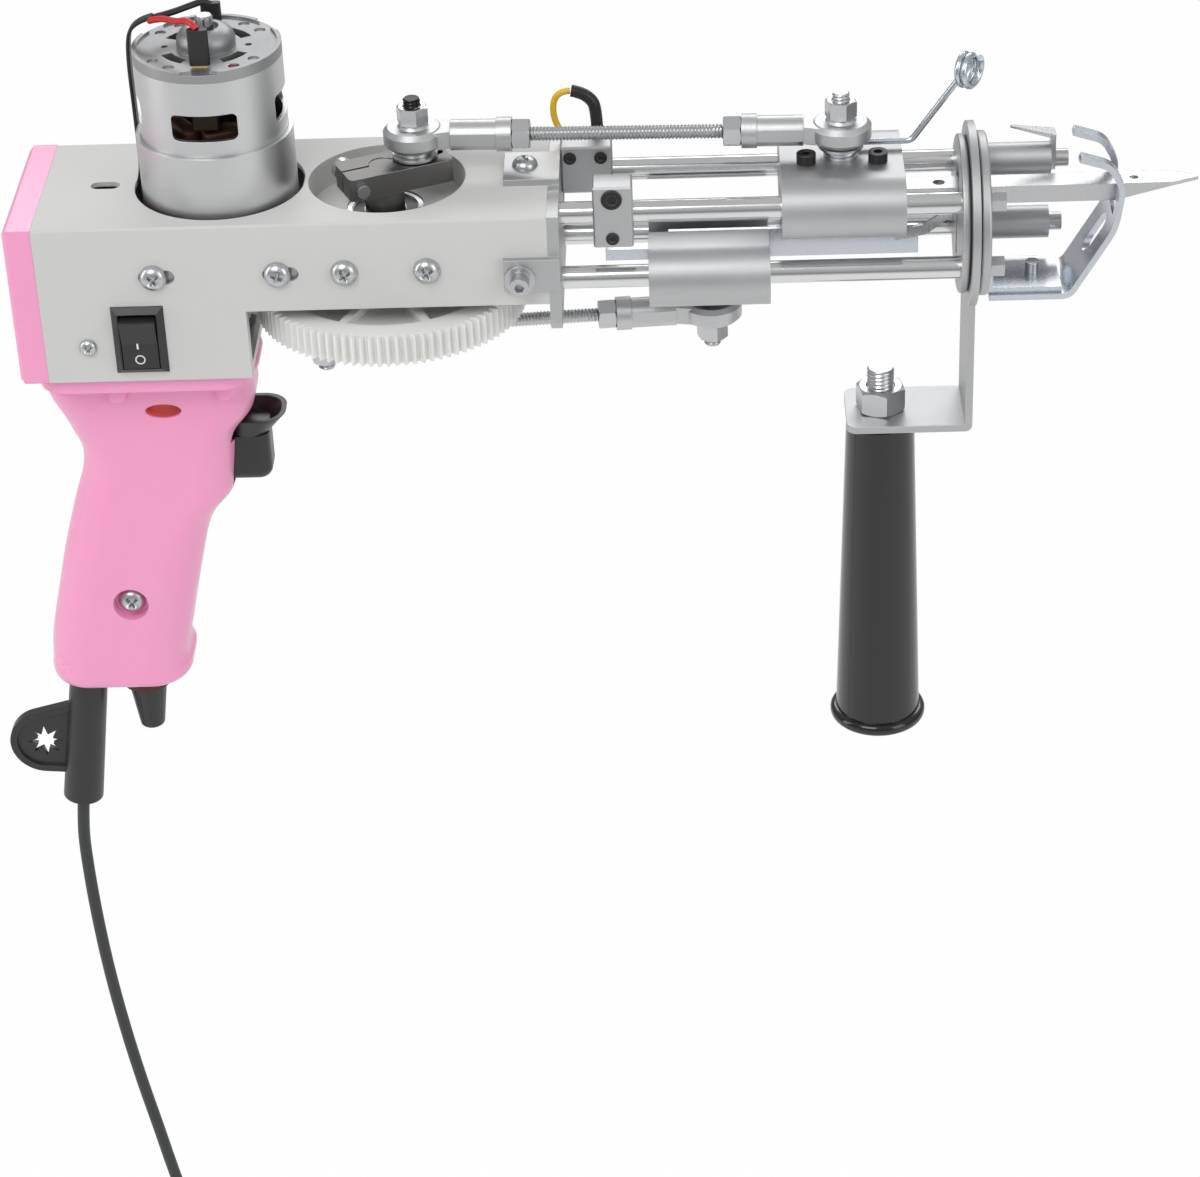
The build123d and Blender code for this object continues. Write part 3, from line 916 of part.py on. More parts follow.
def head_screws():
    screws = []
    for side in (-1, 1):
        face_y = side * (HALF_WIDTH + TAB_SHEET)
        seat = facing(HEAD_SCREW_X, face_y, HEAD_SCREW_Z, (0, side, 0))
        washer = extrude(seat * (Circle(WASHER_R) - Circle(CAP_SHANK_R + RUN_FIT)), WASHER)
        seat = facing(HEAD_SCREW_X, face_y + side * WASHER, HEAD_SCREW_Z, (0, side, 0))
        screw = seat * cap_screw(CAP_HEAD_R, LONG_CAP_HEAD, CAP_SOCKET_FLATS, CAP_SHANK_R, CAP_SHANK)
        screws += [washer, screw]
    return screws


def clamp_block(extents, y):
    (x0, x1), (y0, y1), (z0, z1) = extents
    solid = chamfer(block(x0, x1, y0, y1, z0, z1).edges(), CLAMP_BEVEL)
    return solid - rod((x0 - OVERRUN, y, UPPER_GUIDE_Z), (x1 + OVERRUN, y, UPPER_GUIDE_Z),
                       GUIDE_R + RUN_FIT)


def set_screw(x, face_y, z, radius):
    seat = facing(x, face_y - SET_SCREW_PROUD, z, (0, -1, 0))
    plug = extrude(seat * Circle(radius), -(SET_SCREW_DEPTH + SET_SCREW_PROUD))
    socket = extrude(seat * RegularPolygon(radius / 2, 6, major_radius=False), -SET_SCREW_DEPTH / 2)
    return plug - socket


def clamp_parts():
    blocks = [clamp_block(REAR_CLAMP, GUIDE_Y), clamp_block(FRONT_CLAMP, -GUIDE_Y)]
    rear_y, front_y = REAR_CLAMP[1][0], FRONT_CLAMP[1][0]
    screws = [(0, x, rear_y, REAR_SET_SCREWS_Z, SET_SCREW_R) for x in REAR_SET_SCREWS_X]
    screws += [(1, FRONT_SET_SCREW_X, front_y, FRONT_BIG_Z, BIG_SET_SCREW_R)]
    screws += [(1, FRONT_SET_SCREW_X, front_y, FRONT_SMALL_Z, SET_SCREW_R)]
    solids = []
    for owner, x, y, z, radius in screws:
        solids.append(set_screw(x, y, z, radius))
        blocks[owner] -= rod((x, y - OVERRUN, z), (x, y + SET_SCREW_DEPTH, z), radius + RUN_FIT)
    return blocks, solids


# Front plates, handle, hook and presser

def yarn_window(start, end):
    high = block(start - OVERRUN, end + OVERRUN, -WINDOW_HALF, WINDOW_HALF, WINDOW_LOW, WINDOW_HIGH)
    return high + block(start - OVERRUN, end + OVERRUN, -SLOT_HALF, SLOT_HALF, SLOT_LOW, WINDOW_HIGH)


def front_disc(x, thick, radius, round_edge):
    face = Plane(origin=(x, 0, DISC_Z), x_dir=(0, 1, 0), z_dir=(1, 0, 0))
    disc = extrude(face * Circle(radius), thick)
    if round_edge > 0:
        disc = fillet(disc.edges(), round_edge)
    return disc - yarn_window(x, x + thick)


def bored(plate, radius, places, x):
    for y, z in places:
        plate -= rod((x - OVERRUN - OVERRUN, y, z), (x + OVERRUN + OVERRUN, y, z), radius + RUN_FIT)
    return plate


def handle_bracket():
    plate = front_disc(BRACKET_X, BRACKET_SHEET, STRIP_R, 0)
    half = STRIP_WIDTH / 2
    end = BRACKET_X + BRACKET_SHEET
    foot = end - FOOT_REACH
    strip = block(BRACKET_X, end, -half, half, FOOT_TOP - BRACKET_SHEET, DISC_Z - DISC_R)
    strip += block(foot, end, -half, half, FOOT_TOP - BRACKET_SHEET, FOOT_TOP)
    bend = strip.edges().filter_by(Axis.Y).sort_by_distance((end, 0, FOOT_TOP - BRACKET_SHEET))[0]
    strip = fillet(bend, STRIP_BEND_R)
    tips = strip.edges().filter_by(Axis.Z).group_by(Axis.X)[0]
    strip = fillet(tips, FOOT_CORNER)
    strip -= post(HANDLE_X, 0, HANDLE_TOP - OVERRUN, FOOT_TOP + OVERRUN, HANDLE_STUD_R + RUN_FIT)
    return bored(plate + strip, GUIDE_R, GUIDE_PLACES, BRACKET_X)


def front_handle():
    bottom = HANDLE_TOP - HANDLE_LENGTH
    grip = Pos(HANDLE_X, 0, bottom) * Cone(HANDLE_END_R, HANDLE_TOP_R, HANDLE_LENGTH, align=BASE)
    grip = chamfer(grip.edges().sort_by(Axis.Z)[-1], HANDLE_BEVEL)
    knob = post(HANDLE_X, 0, bottom - HANDLE_FLANGE, bottom, HANDLE_FLANGE_R)
    knob = fillet(knob.edges().filter_by(GeomType.CIRCLE), HANDLE_FLANGE_ROUND)
    depth = HANDLE_TOP - HANDLE_STUD_DEPTH - EDGE_GAP
    return grip + knob - post(HANDLE_X, 0, depth, HANDLE_TOP + OVERRUN, HANDLE_STUD_R + RUN_FIT)


def handle_bolt():
    bolt = post(HANDLE_X, 0, HANDLE_TOP - HANDLE_STUD_DEPTH, FOOT_TOP + HANDLE_STUD_RISE, HANDLE_STUD_R)
    bolt = chamfer(bolt.edges().sort_by(Axis.Z)[-1], STUD_CHAMFER)
    seat = Plane(origin=(HANDLE_X, 0, FOOT_TOP))
    hexagon = nut(seat, HANDLE_NUT_FLATS, HANDLE_NUT, HANDLE_STUD_R + RUN_FIT)
    return [bolt, hexagon]


def rod_bolt(y, z):
    seat = Plane(origin=(FRONT_FACE, y, z), x_dir=(0, 0, 1), z_dir=(1, 0, 0))
    head = extrude(seat * RegularPolygon(ROD_BOLT_FLATS / 2, 6, major_radius=False), ROD_BOLT_HEAD)
    return head + rod((OUTER_X - ROD_BOLT_DEPTH, y, z), (FRONT_FACE, y, z), ROD_BOLT_R)


def standoff(z):
    bar = rod((FRONT_FACE, GUIDE_Y, z), (STANDOFF_END, GUIDE_Y, z), STANDOFF_R)
    bar += rod((OUTER_X - ROD_BOLT_DEPTH, GUIDE_Y, z), (FRONT_FACE, GUIDE_Y, z), ROD_BOLT_R)
    return bar - rod((STANDOFF_END - CAP_SHANK - EDGE_GAP, GUIDE_Y, z),
                     (STANDOFF_END + OVERRUN, GUIDE_Y, z), CAP_SHANK_R + RUN_FIT)


def standoff_screw(z, under):
    start = STANDOFF_END + under
    seat = Plane(origin=(start, GUIDE_Y, z), x_dir=(0, 1, 0), z_dir=(1, 0, 0))
    return seat * cap_screw(STANDOFF_HEAD_R, STANDOFF_HEAD, CAP_SOCKET_FLATS, CAP_SHANK_R, CAP_SHANK)


def hook_blade():
    base_z = UPPER_GUIDE_Z
    top = base_z + STANDOFF_R + HOOK_RISE
    half = HOOK_WIDTH / 2
    end = STANDOFF_END + HOOK_SHEET
    plate = block(STANDOFF_END, end, GUIDE_Y - half, GUIDE_Y + half, base_z - half, top)
    plate -= rod((STANDOFF_END - OVERRUN, GUIDE_Y, base_z), (end + OVERRUN, GUIDE_Y, base_z),
                 CAP_SHANK_R + RUN_FIT)
    tip_x = end - HOOK_REACH
    spike = Polyline((end, GUIDE_Y - half, 0), (end, GUIDE_Y + half, 0),
                     (tip_x, GUIDE_Y + HOOK_TIP_WIDTH / 2, 0), (tip_x, GUIDE_Y - HOOK_TIP_WIDTH / 2, 0),
                     close=True)
    prism = extrude(make_face(spike), HOOK_LIFT + HOOK_SHEET + OVERRUN, dir=(0, 0, 1))
    side = [(end, top - HOOK_SHEET), (end, top), (tip_x, top + HOOK_LIFT),
            (tip_x, top + HOOK_LIFT - HOOK_SHEET / 2)]
    return plate + (Pos(0, 0, top - HOOK_SHEET) * prism & side_view(side, 0, GUIDE_Y + GUIDE_Y))


def presser_bracket():
    plate = block(FRONT_FACE, BRACKET_END, -BRACKET_HALF, BRACKET_HALF,
                  BRACKET_TOP - PRESSER_SHEET, BRACKET_TOP)
    plate += block(FRONT_FACE, FRONT_FACE + PRESSER_SHEET, -BRACKET_HALF, BRACKET_HALF,
                   BRACKET_TOP - PRESSER_SHEET, BRACKET_LEG_TOP)
    return plate - post(PRESSER_SCREW_X, 0, BRACKET_TOP - OVERRUN, BRACKET_TOP + OVERRUN,
                        PRESSER_SCREW_R + RUN_FIT)


def presser_foot():
    points = [(x, 0, z) for x, z in FOOT_PATH]
    path = Wire(FilletPolyline(*points, radius=list(FOOT_RADII)).edges())
    start = Plane(origin=path @ 0, x_dir=(0, 1, 0), z_dir=path % 0)
    foot = sweep(start * Rectangle(2 * FOOT_HALF, PRESSER_SHEET), path=path)
    far_x = FOOT_PATH[3][0] + OVERRUN
    foot -= block(FOOT_PATH[1][0], far_x, -FORK_HALF, FORK_HALF, FORK_BOTTOM, FOOT_PATH[-1][1] + OVERRUN)
    slot = Plane(origin=(FOOT_PATH[1][0], 0, (FOOT_SLOT_LOW + FOOT_SLOT_HIGH) / 2),
                 x_dir=(0, 0, 1), z_dir=(1, 0, 0))
    slot_length = FOOT_SLOT_HIGH - FOOT_SLOT_LOW
    foot -= extrude(slot * SlotOverall(slot_length, 2 * FOOT_SLOT_HALF), far_x - FOOT_PATH[1][0])
    return foot - post(PRESSER_SCREW_X, 0, FOOT_PATH[0][1] - OVERRUN, BRACKET_TOP, PRESSER_SCREW_R + RUN_FIT)


def presser_screw():
    under = FOOT_PATH[0][1] - PRESSER_SHEET / 2
    screw = post(PRESSER_SCREW_X, 0, under - PRESSER_NUT, BRACKET_TOP + PRESSER_SCREW_RISE, PRESSER_SCREW_R)
    seat = Plane(origin=(PRESSER_SCREW_X, 0, under - PRESSER_NUT))
    return screw + extrude(seat * RegularPolygon(PRESSER_NUT_FLATS / 2, 6, major_radius=False), PRESSER_NUT)


# Rocker switch

def switch_bezel():
    face_y = -HALF_WIDTH - BEZEL_PROUD
    frame = block(SWITCH_X - BEZEL_WIDTH / 2, SWITCH_X + BEZEL_WIDTH / 2, face_y, -HALF_WIDTH,
                  SWITCH_Z - BEZEL_HEIGHT / 2, SWITCH_Z + BEZEL_HEIGHT / 2)
    frame = chamfer(frame.faces().sort_by(Axis.Y)[0].edges(), BEZEL_BEVEL)
    frame += switch_space(-HALF_WIDTH, 0)
    half = ROCKER_WIDTH / 2 + SEAT_GAP
    tall = ROCKER_HEIGHT / 2 + ROCKER_SWING_ROOM
    frame -= block(SWITCH_X - half, SWITCH_X + half, face_y - OVERRUN, ROCKER_Y + ROCKER_ROOM,
                   SWITCH_Z - tall, SWITCH_Z + tall)
    pin_reach = ROCKER_WIDTH / 2 + ROCKER_PIN + EDGE_GAP
    return frame - rod((SWITCH_X - pin_reach, ROCKER_Y, SWITCH_Z), (SWITCH_X + pin_reach, ROCKER_Y, SWITCH_Z),
                       ROCKER_PIN_R + RUN_FIT)


def switch_rocker():
    # Drawn level, then tipped so that its lower half is pressed in
    tall = ROCKER_HEIGHT / 2
    front = -HALF_WIDTH - BEZEL_PROUD - ROCKER_PROUD - ROCKER_Y
    outline = [(front, tall), (front + ROCKER_DIP, 0), (front, -tall),
               (-ROCKER_PIN_R, -tall), (ROCKER_BELLY, -ROCKER_BELLY), (ROCKER_BELLY, ROCKER_BELLY),
               (-ROCKER_PIN_R, tall)]
    face = make_face(Polyline(*[(0, y, z) for y, z in outline], close=True))
    body = Pos(-ROCKER_WIDTH / 2, 0, 0) * extrude(face, ROCKER_WIDTH, dir=(1, 0, 0))
    reach = ROCKER_WIDTH / 2 + ROCKER_PIN
    body += rod((-reach, 0, 0), (reach, 0, 0), ROCKER_PIN_R)
    return Pos(SWITCH_X, ROCKER_Y, SWITCH_Z) * Rot(ROCKER_TRAVEL / 2, 0, 0) * body


# Pistol grip, trigger and speed control

def grip_section(z, rear, front, half, inset=0.0):
    width, height = front - rear - 2 * inset, 2 * (half - inset)
    corner = (half - inset) * GRIP_CORNER_SHARE
    return Pos((rear + front) / 2, 0, z) * RectangleRounded(width, height, corner)


def grip_form(inset):
    stations = [grip_section(*station, inset) for station in GRIP_STATIONS]
    form = loft(stations)
    z, rear, front, half = GRIP_STATIONS[-1]
    foot = extrude(grip_section(z, rear, front, half, inset), GRIP_BOTTOM + inset - z, dir=(0, 0, 1))
    low = foot.edges().group_by(Axis.Z)[0]
    return form + fillet(low, GRIP_FOOT_ROUND - inset)


def ledge_well(margin, inner, outer):
    eye = Ellipse(LEDGE_WELL_HALF + margin, LEDGE_WELL_RISE + margin)
    face = Plane(origin=(LEDGE_WELL_X, inner, LEDGE_WELL_Z), x_dir=(1, 0, 0), z_dir=(0, -1, 0))
    return extrude(face * eye, inner - outer)


def grip_body():
    body = grip_form(0) - grip_form(GRIP_WALL)
    z_top = -REAR_HEIGHT
    flange = Pos((FLANGE_REAR + FLANGE_FRONT) / 2, 0, z_top - FLANGE_DEPTH) * extrude(
        RectangleRounded(FLANGE_FRONT - FLANGE_REAR, 2 * FLANGE_HALF, FLANGE_CORNER), FLANGE_DEPTH)
    top = grip_section(*GRIP_STATIONS[0], GRIP_WALL)
    flange -= extrude(top, z_top + OVERRUN - GRIP_STATIONS[0][0], dir=(0, 0, 1))
    body += flange
    outer = grip_form(0)
    for x, radius in BOSSES:
        for side in (-1, 1):
            boss = post(x, side * BOSS_Y, BOSS_BOTTOM, z_top - WELD, radius)
            boss = fillet(boss.edges().sort_by(Axis.Z)[0], radius - WELD)
            body += boss - outer
    post_low = outer & rod((GRIP_SCREW_X, -FLANGE_HALF, GRIP_SCREW_Z),
                           (GRIP_SCREW_X, FLANGE_HALF, GRIP_SCREW_Z), POST_R)
    post_high = outer & ledge_well(POST_R - SCREW_WELL_R, FLANGE_HALF, -FLANGE_HALF)
    return body + post_low + post_high


def grip_halves():
    body = grip_body()
    body -= rod((GRIP_SCREW_X, SCREW_WELL_DEPTH - SCREW_WELL_Y, GRIP_SCREW_Z),
                (GRIP_SCREW_X, -FLANGE_HALF, GRIP_SCREW_Z), SCREW_WELL_R)
    body -= ledge_well(0, SCREW_WELL_DEPTH - SCREW_WELL_Y, -FLANGE_HALF)
    screw_tip = SCREW_WELL_DEPTH - SCREW_WELL_Y + GRIP_SCREW[3] + EDGE_GAP
    body -= rod((GRIP_SCREW_X, -FLANGE_HALF, GRIP_SCREW_Z), (GRIP_SCREW_X, screw_tip, GRIP_SCREW_Z),
                GRIP_SCREW[2] + RUN_FIT)
    for wide, low, high in TRIGGER_ROOM:
        body -= block(TRIGGER_BACK - TRIGGER_TRAVEL - SEAT_GAP, LIP_REACH + OVERRUN, -wide, wide, low, high)
    (x0, x1), (y0, y1), (z0, z1) = SWITCH_UNIT
    middle = (z0 + z1) / 2
    body += block(x0, x1, -GRIP_RIB_HALF, GRIP_RIB_HALF, middle - POST_R, middle + POST_R)
    body -= block(x0, x1, y0, y1, z0, z1)
    body -= post(KNOB_X, 0, GRIP_BOTTOM - OVERRUN, GRIP_BOTTOM + OVERRUN + OVERRUN, KNOB_SHAFT_R + SEAT_GAP)
    body -= relief_core(EDGE_GAP)
    halves = []
    for side in (-1, 1):
        y0, y1 = sorted((0, side * (FLANGE_HALF + OVERRUN)))
        halves.append(body & block(FLANGE_REAR - GRIP_REACH, FLANGE_FRONT + OVERRUN, y0, y1,
                                   GRIP_BOTTOM - OVERRUN, -REAR_HEIGHT))
    return halves


def trigger():
    width = TRIGGER_FACE - TRIGGER_BACK
    body = Pos(TRIGGER_BACK + width / 2, 0, TRIGGER_BOTTOM) * extrude(
        RectangleRounded(width, 2 * TRIGGER_HALF, TRIGGER_CORNER), LIP_ROOT - TRIGGER_BOTTOM)
    body = fillet(body.edges().group_by(Axis.Z)[0], TRIGGER_ROUND)

    def lip(reach, half, back, low_z, high_z, low_reach, low_half):
        low = Pos((back + low_reach) / 2, 0, low_z) * RectangleRounded(
            low_reach - back, 2 * low_half, low_half * LIP_CORNER_SHARE)
        high = Pos((back + reach) / 2, 0, high_z) * RectangleRounded(
            reach - back, 2 * half, half * LIP_CORNER_SHARE)
        return loft([low, high])

    body += lip(LIP_REACH, LIP_HALF, LIP_BACK, LIP_ROOT, LIP_TOP, TRIGGER_FACE, TRIGGER_HALF)
    return body - lip(LIP_REACH - LIP_WALL, LIP_HALF - LIP_WALL, LIP_BACK + LIP_WALL,
                      LIP_FLOOR, LIP_TOP, TRIGGER_FACE, TRIGGER_HALF - LIP_WALL)


def speed_control():
    floor = GRIP_BOTTOM + GRIP_WALL
    body = post(KNOB_X, 0, floor, floor + KNOB_BODY, KNOB_BODY_R)
    body += ring(KNOB_X, 0, GRIP_BOTTOM, floor, KNOB_SHAFT_R + EDGE_GAP, KNOB_SHAFT_R + RUN_FIT)
    collar = post(KNOB_X, 0, GRIP_BOTTOM - KNOB_FLANGE, GRIP_BOTTOM, KNOB_FLANGE_R)
    body += collar
    return body - post(KNOB_X, 0, GRIP_BOTTOM - KNOB_FLANGE - OVERRUN, floor + KNOB_SHAFT,
                       KNOB_SHAFT_R + RUN_FIT)


def speed_knob():
    top = GRIP_BOTTOM - KNOB_FLANGE - EDGE_GAP
    knob = Pos(KNOB_X, 0, top - KNOB_LENGTH) * Cone(KNOB_END_R, KNOB_TOP_R, KNOB_LENGTH, align=BASE)
    knob = fillet(knob.edges().sort_by(Axis.Z)[0], KNOB_ROUND)
    for i in range(KNOB_FLUTES):
        turn = Pos(KNOB_X, 0, 0) * Rot(0, 0, i * 360 / KNOB_FLUTES)
        knob -= turn * rod((KNOB_END_R + KNOB_FLUTE_R / 2, 0, top - KNOB_LENGTH - OVERRUN),
                           (KNOB_TOP_R + KNOB_FLUTE_R / 2, 0, top - KNOB_HEAD), KNOB_FLUTE_R)
    return knob + post(KNOB_X, 0, top - WELD, GRIP_BOTTOM + GRIP_WALL + KNOB_SHAFT - EDGE_GAP, KNOB_SHAFT_R)


# Strain relief, cord, coil and plug

def relief_core(clearance):
    way = (Vector(*RELIEF_TOP) - Vector(*RELIEF_END)).normalized()
    inner = Vector(*RELIEF_TOP) + way * RELIEF_ROOT
    upper = rod(tuple(RELIEF_TOP), tuple(inner), RELIEF_R + clearance)
    return upper + rod(tuple(RELIEF_END), tuple(RELIEF_TOP), RELIEF_END_R + clearance, RELIEF_R + clearance)


def lug_face(shrink):
    disc = Pos(LUG_X, LUG_Z) * Circle(LUG_R - shrink)
    root = Line((RELIEF_TOP[0], LUG_JOIN_TOP - shrink), (RELIEF_END[0], LUG_JOIN_BOTTOM + shrink))
    return make_face(make_hull(disc.edges() + root.edges()))


def strain_relief():
    body = relief_core(0)
    outer = lug_face(0)
    rim = outer - lug_face(LUG_RIM)
    body += extrude(Plane.XZ * outer, LUG_THICK / 2, both=True)
    body += extrude(Plane.XZ * rim, LUG_THICK / 2 + LUG_RIM_PROUD, both=True)
    points = []
    for i in range(2 * STAR_POINTS):
        radius = STAR_ROOT_R if i % 2 else STAR_TIP_R
        angle = pi * i / STAR_POINTS
        points.append((LUG_X + radius * cos(angle), LUG_Z + radius * sin(angle)))
    star = make_face(Polyline(*points, close=True))
    body -= extrude(Plane.XZ * star, LUG_THICK, both=True)
    start, end = Vector(*CORD_ROUTE[0]), Vector(*CORD_ROUTE[1])
    return body - rod(tuple(start), tuple(end), CORD_R + SEAT_GAP)


def power_cord():
    runs = [(Vector(*b) - Vector(*a)) for a, b in zip(CORD_ROUTE, CORD_ROUTE[1:])]
    radii = []
    for first, second in zip(runs, runs[1:]):
        turn = radians(first.get_angle(second))
        shorter = min(first.length, second.length)
        radii.append(CORD_BEND_SHARE * shorter / tan(turn / 2))
    path = FilletPolyline(*CORD_ROUTE, radius=radii)
    print("cord radii", [round(r) for r in radii], "runs", [round(r.length) for r in runs])
    solid = tube(path.edges(), CORD_R)
    expected = pi * CORD_R ** 2 * path.length
    print("cord length", round(path.length), "volume ratio", round(solid.volume / expected, 4))
    return solid


def coil_path():
    # Spirals in and out at a steady rate, climbing a layer in the half turn that reverses
    start, before = Vector(*CORD_ROUTE[-1]), Vector(*CORD_ROUTE[-2])
    heading = (start - before).normalized()
    outer = COIL_MID_R + COIL_PITCH * COIL_TURNS / 2
    slope = COIL_PITCH / (2 * pi)
    start += heading * 2 * CORD_R
    first = atan2(heading.Z, heading.X) + pi / 2 + atan2(slope, outer)
    centre = start - Vector(cos(first), 0, sin(first)) * outer

    def spot(turns):
        layer, part = divmod(turns, COIL_TURNS)
        layer = min(layer, COIL_LAYERS - 1)
        part = turns - layer * COIL_TURNS
        inward = layer % 2 == 0
        radius = outer - COIL_PITCH * (part if inward else COIL_TURNS - part)
        height = COIL_PITCH * layer
        angle = first - 2 * pi * turns
        out = Vector(cos(angle), 0, sin(angle))
        ahead = Vector(sin(angle), 0, -cos(angle))
        way = (ahead * radius + out * slope * (-1 if inward else 1)).normalized()
        return centre + out * radius + Vector(0, height, 0), way

    total = COIL_LAYERS * COIL_TURNS
    steps = [0] + [1 / 4 + i / 2 for i in range(2 * total)] + [total]
    edges = [Line(start - heading * 2 * CORD_R, start)]
    knots = [spot(t) for t in steps]
    for (p0, w0), (p1, w1) in zip(knots, knots[1:]):
        edges += biarc(p0, w0, p1, w1)
    end, way = knots[-1]
    tail = end + way * PLUG_LEAD
    edges.append(Line(end, tail))
    return edges, centre, first, tail, way


def least_gap(path, diameter, skip):
    count = ceil(path.length / diameter)
    spots = [path @ (i / count) for i in range(count + 1)]
    least = path.length
    for i, a in enumerate(spots):
        for b in spots[i + skip:]:
            least = min(least, (a - b).length)
    return least - diameter


def coil_tie(centre, first):
    # A flat band round all the turns, half a turn from where the cord comes in
    outer = COIL_MID_R + COIL_PITCH * (COIL_TURNS - 1) / 2 + CORD_R
    inner = COIL_MID_R - COIL_PITCH * (COIL_TURNS - 1) / 2 - CORD_R
    sag = TIE_WIDTH ** 2 / (8 * inner)
    x0, x1 = inner - sag - EDGE_GAP, outer + EDGE_GAP
    y0, y1 = -CORD_R - EDGE_GAP, COIL_PITCH * (COIL_LAYERS - 1) + CORD_R + EDGE_GAP
    band = block(x0 - TIE_THICK, x1 + TIE_THICK, y0 - TIE_THICK, y1 + TIE_THICK,
                 -TIE_WIDTH / 2, TIE_WIDTH / 2)
    band -= block(x0, x1, y0, y1, -TIE_WIDTH, TIE_WIDTH)
    return Pos(*centre) * Rot(0, -degrees(first + pi), 0) * band


def plug_parts(end, way):
    neck_end = end + way * CONNECTOR_NECK
    body_end = neck_end + way * CONNECTOR_LENGTH
    body = rod(tuple(end), tuple(neck_end), CONNECTOR_NECK_R, CONNECTOR_R)
    body += rod(tuple(neck_end), tuple(body_end), CONNECTOR_R)
    barrel = rod(tuple(body_end), tuple(body_end + way * BARREL_LENGTH), BARREL_R)
    barrel -= rod(tuple(body_end + way * BARREL_FLOOR), tuple(body_end + way * (BARREL_LENGTH + OVERRUN)),
                  BARREL_BORE_R)
    return body, barrel


# Leads

def motor_leads():
    top = CAN_TOP + END_PLATE
    half_x, half_y = TERMINAL_WIDTH / 2 + SLEEVE_WALL, TERMINAL_THICK / 2 + SLEEVE_WALL
    sleeves = []
    for side in (-1, 1):
        y = side * TERMINAL_Y
        sleeve = block(MOTOR_X - half_x, MOTOR_X + half_x, y - half_y, y + half_y,
                       top + TERMINAL_BARE, top + TERMINAL_RISE + SLEEVE_REACH)
        sleeve = fillet(sleeve.edges().filter_by(Axis.Z), SLEEVE_WALL)
        sleeves.append(sleeve - terminal(side, RUN_FIT))
    leads = [bent_tube(route, LEAD_BEND_R, LEAD_R) for route in (RED_ROUTE, BLACK_ROUTE)]
    band = Plane(origin=DOWN_ROUTE[0], x_dir=(0, 1, 0),
                 z_dir=Vector(*DOWN_ROUTE[1]) - Vector(*DOWN_ROUTE[0]))
    path = FilletPolyline(*DOWN_ROUTE, radius=[DOWN_BEND_R] * (len(DOWN_ROUTE) - 2))
    flat = RectangleRounded(2 * DOWN_HALF, DOWN_THICK, DOWN_CORNER)
    down = sweep(band * flat, path=Wire(path.edges()))
    return sleeves, leads, down


# Groups of small pieces

def upper_studs():
    foot = ARM_TOP + SEAT_GAP
    eye_low, eye_high = UPPER_ROD_Z - BALL_HALF, UPPER_ROD_Z + BALL_HALF
    top = eye_high + STUD_NUT_HEIGHT + STUD_TIP
    crank = [
        stud(PIN_X, PIN_Y, foot, top, True),
        ring(PIN_X, PIN_Y, foot, foot + WIDE_WASHER, WIDE_WASHER_R, STUD_R + RUN_FIT),
        ring(PIN_X, PIN_Y, foot + WIDE_WASHER, eye_low, SMALL_WASHER_R, STUD_R + RUN_FIT),
        nut(Plane(origin=(PIN_X, PIN_Y, eye_high)), NUT_FLATS, STUD_NUT_HEIGHT, STUD_R + RUN_FIT),
    ]
    wire_low, wire_high = WIRE_Z - WIRE_R - RUN_FIT, WIRE_Z + WIRE_R + RUN_FIT
    x, bore = UPPER_STUD_X, STUD_R + RUN_FIT
    carriage = [
        stud(x, 0, NEEDLE_TOP + EDGE_GAP, top + SIDE_PLAY, True),
        ring(x, 0, UPPER_TOP, wire_low, SMALL_WASHER_R, bore),
        ring(x, 0, wire_low, wire_high, WIRE_CORE_R, bore),
        ring(x, 0, wire_high, eye_low - SIDE_PLAY, WIDE_WASHER_R, bore),
        nut(Plane(origin=(x, 0, eye_high + SIDE_PLAY)), NUT_FLATS, STUD_NUT_HEIGHT, bore),
    ]
    return crank, carriage


def lower_studs():
    eye_low, eye_high = LOWER_ROD_Z - BALL_HALF, LOWER_ROD_Z + BALL_HALF
    bottom = eye_low - STUD_NUT_HEIGHT - STUD_TIP
    low_nut = eye_low - STUD_NUT_HEIGHT
    bore = STUD_R + RUN_FIT
    crank = [
        stud(LOWER_PIN_X, LOWER_PIN_Y, GEAR_BOTTOM - SEAT_GAP, bottom, False),
        nut(Plane(origin=(LOWER_PIN_X, LOWER_PIN_Y, low_nut)), NUT_FLATS, STUD_NUT_HEIGHT, bore),
    ]
    x, washer_low = LOWER_STUD_X, eye_high + SIDE_PLAY
    carriage = [
        stud(x, 0, PLATE_BOTTOM - EDGE_GAP, bottom - SIDE_PLAY, False),
        ring(x, 0, washer_low + WIDE_WASHER, LOWER_BOTTOM, SMALL_WASHER_R, bore),
        ring(x, 0, washer_low, washer_low + WIDE_WASHER, WIDE_WASHER_R, bore),
        nut(Plane(origin=(x, 0, low_nut - SIDE_PLAY)), NUT_FLATS, STUD_NUT_HEIGHT, bore),
    ]
    return crank, carriage


def motor_pieces():
    keep("motor_can", motor_can())
    keep("motor_flux_ring", ring(MOTOR_X, 0, FLUX_BOTTOM, FLUX_TOP, FLUX_R, CAN_R + RUN_FIT))
    keep("motor_end_cap", motor_end_cap())
    keep("motor_terminals", terminal(-1), terminal(1))
    keep("motor_armature", motor_armature())
    keep("motor_pinion", motor_pinion())
    sleeves, leads, down = motor_leads()
    yellow = bent_tube(YELLOW_ROUTE, YELLOW_BEND_R, LEAD_R)
    tail = bent_tube(TAIL_ROUTE, TAIL_BEND_R, TAIL_R)
    keep("wire_leads", *sleeves, *leads, down, yellow, tail)


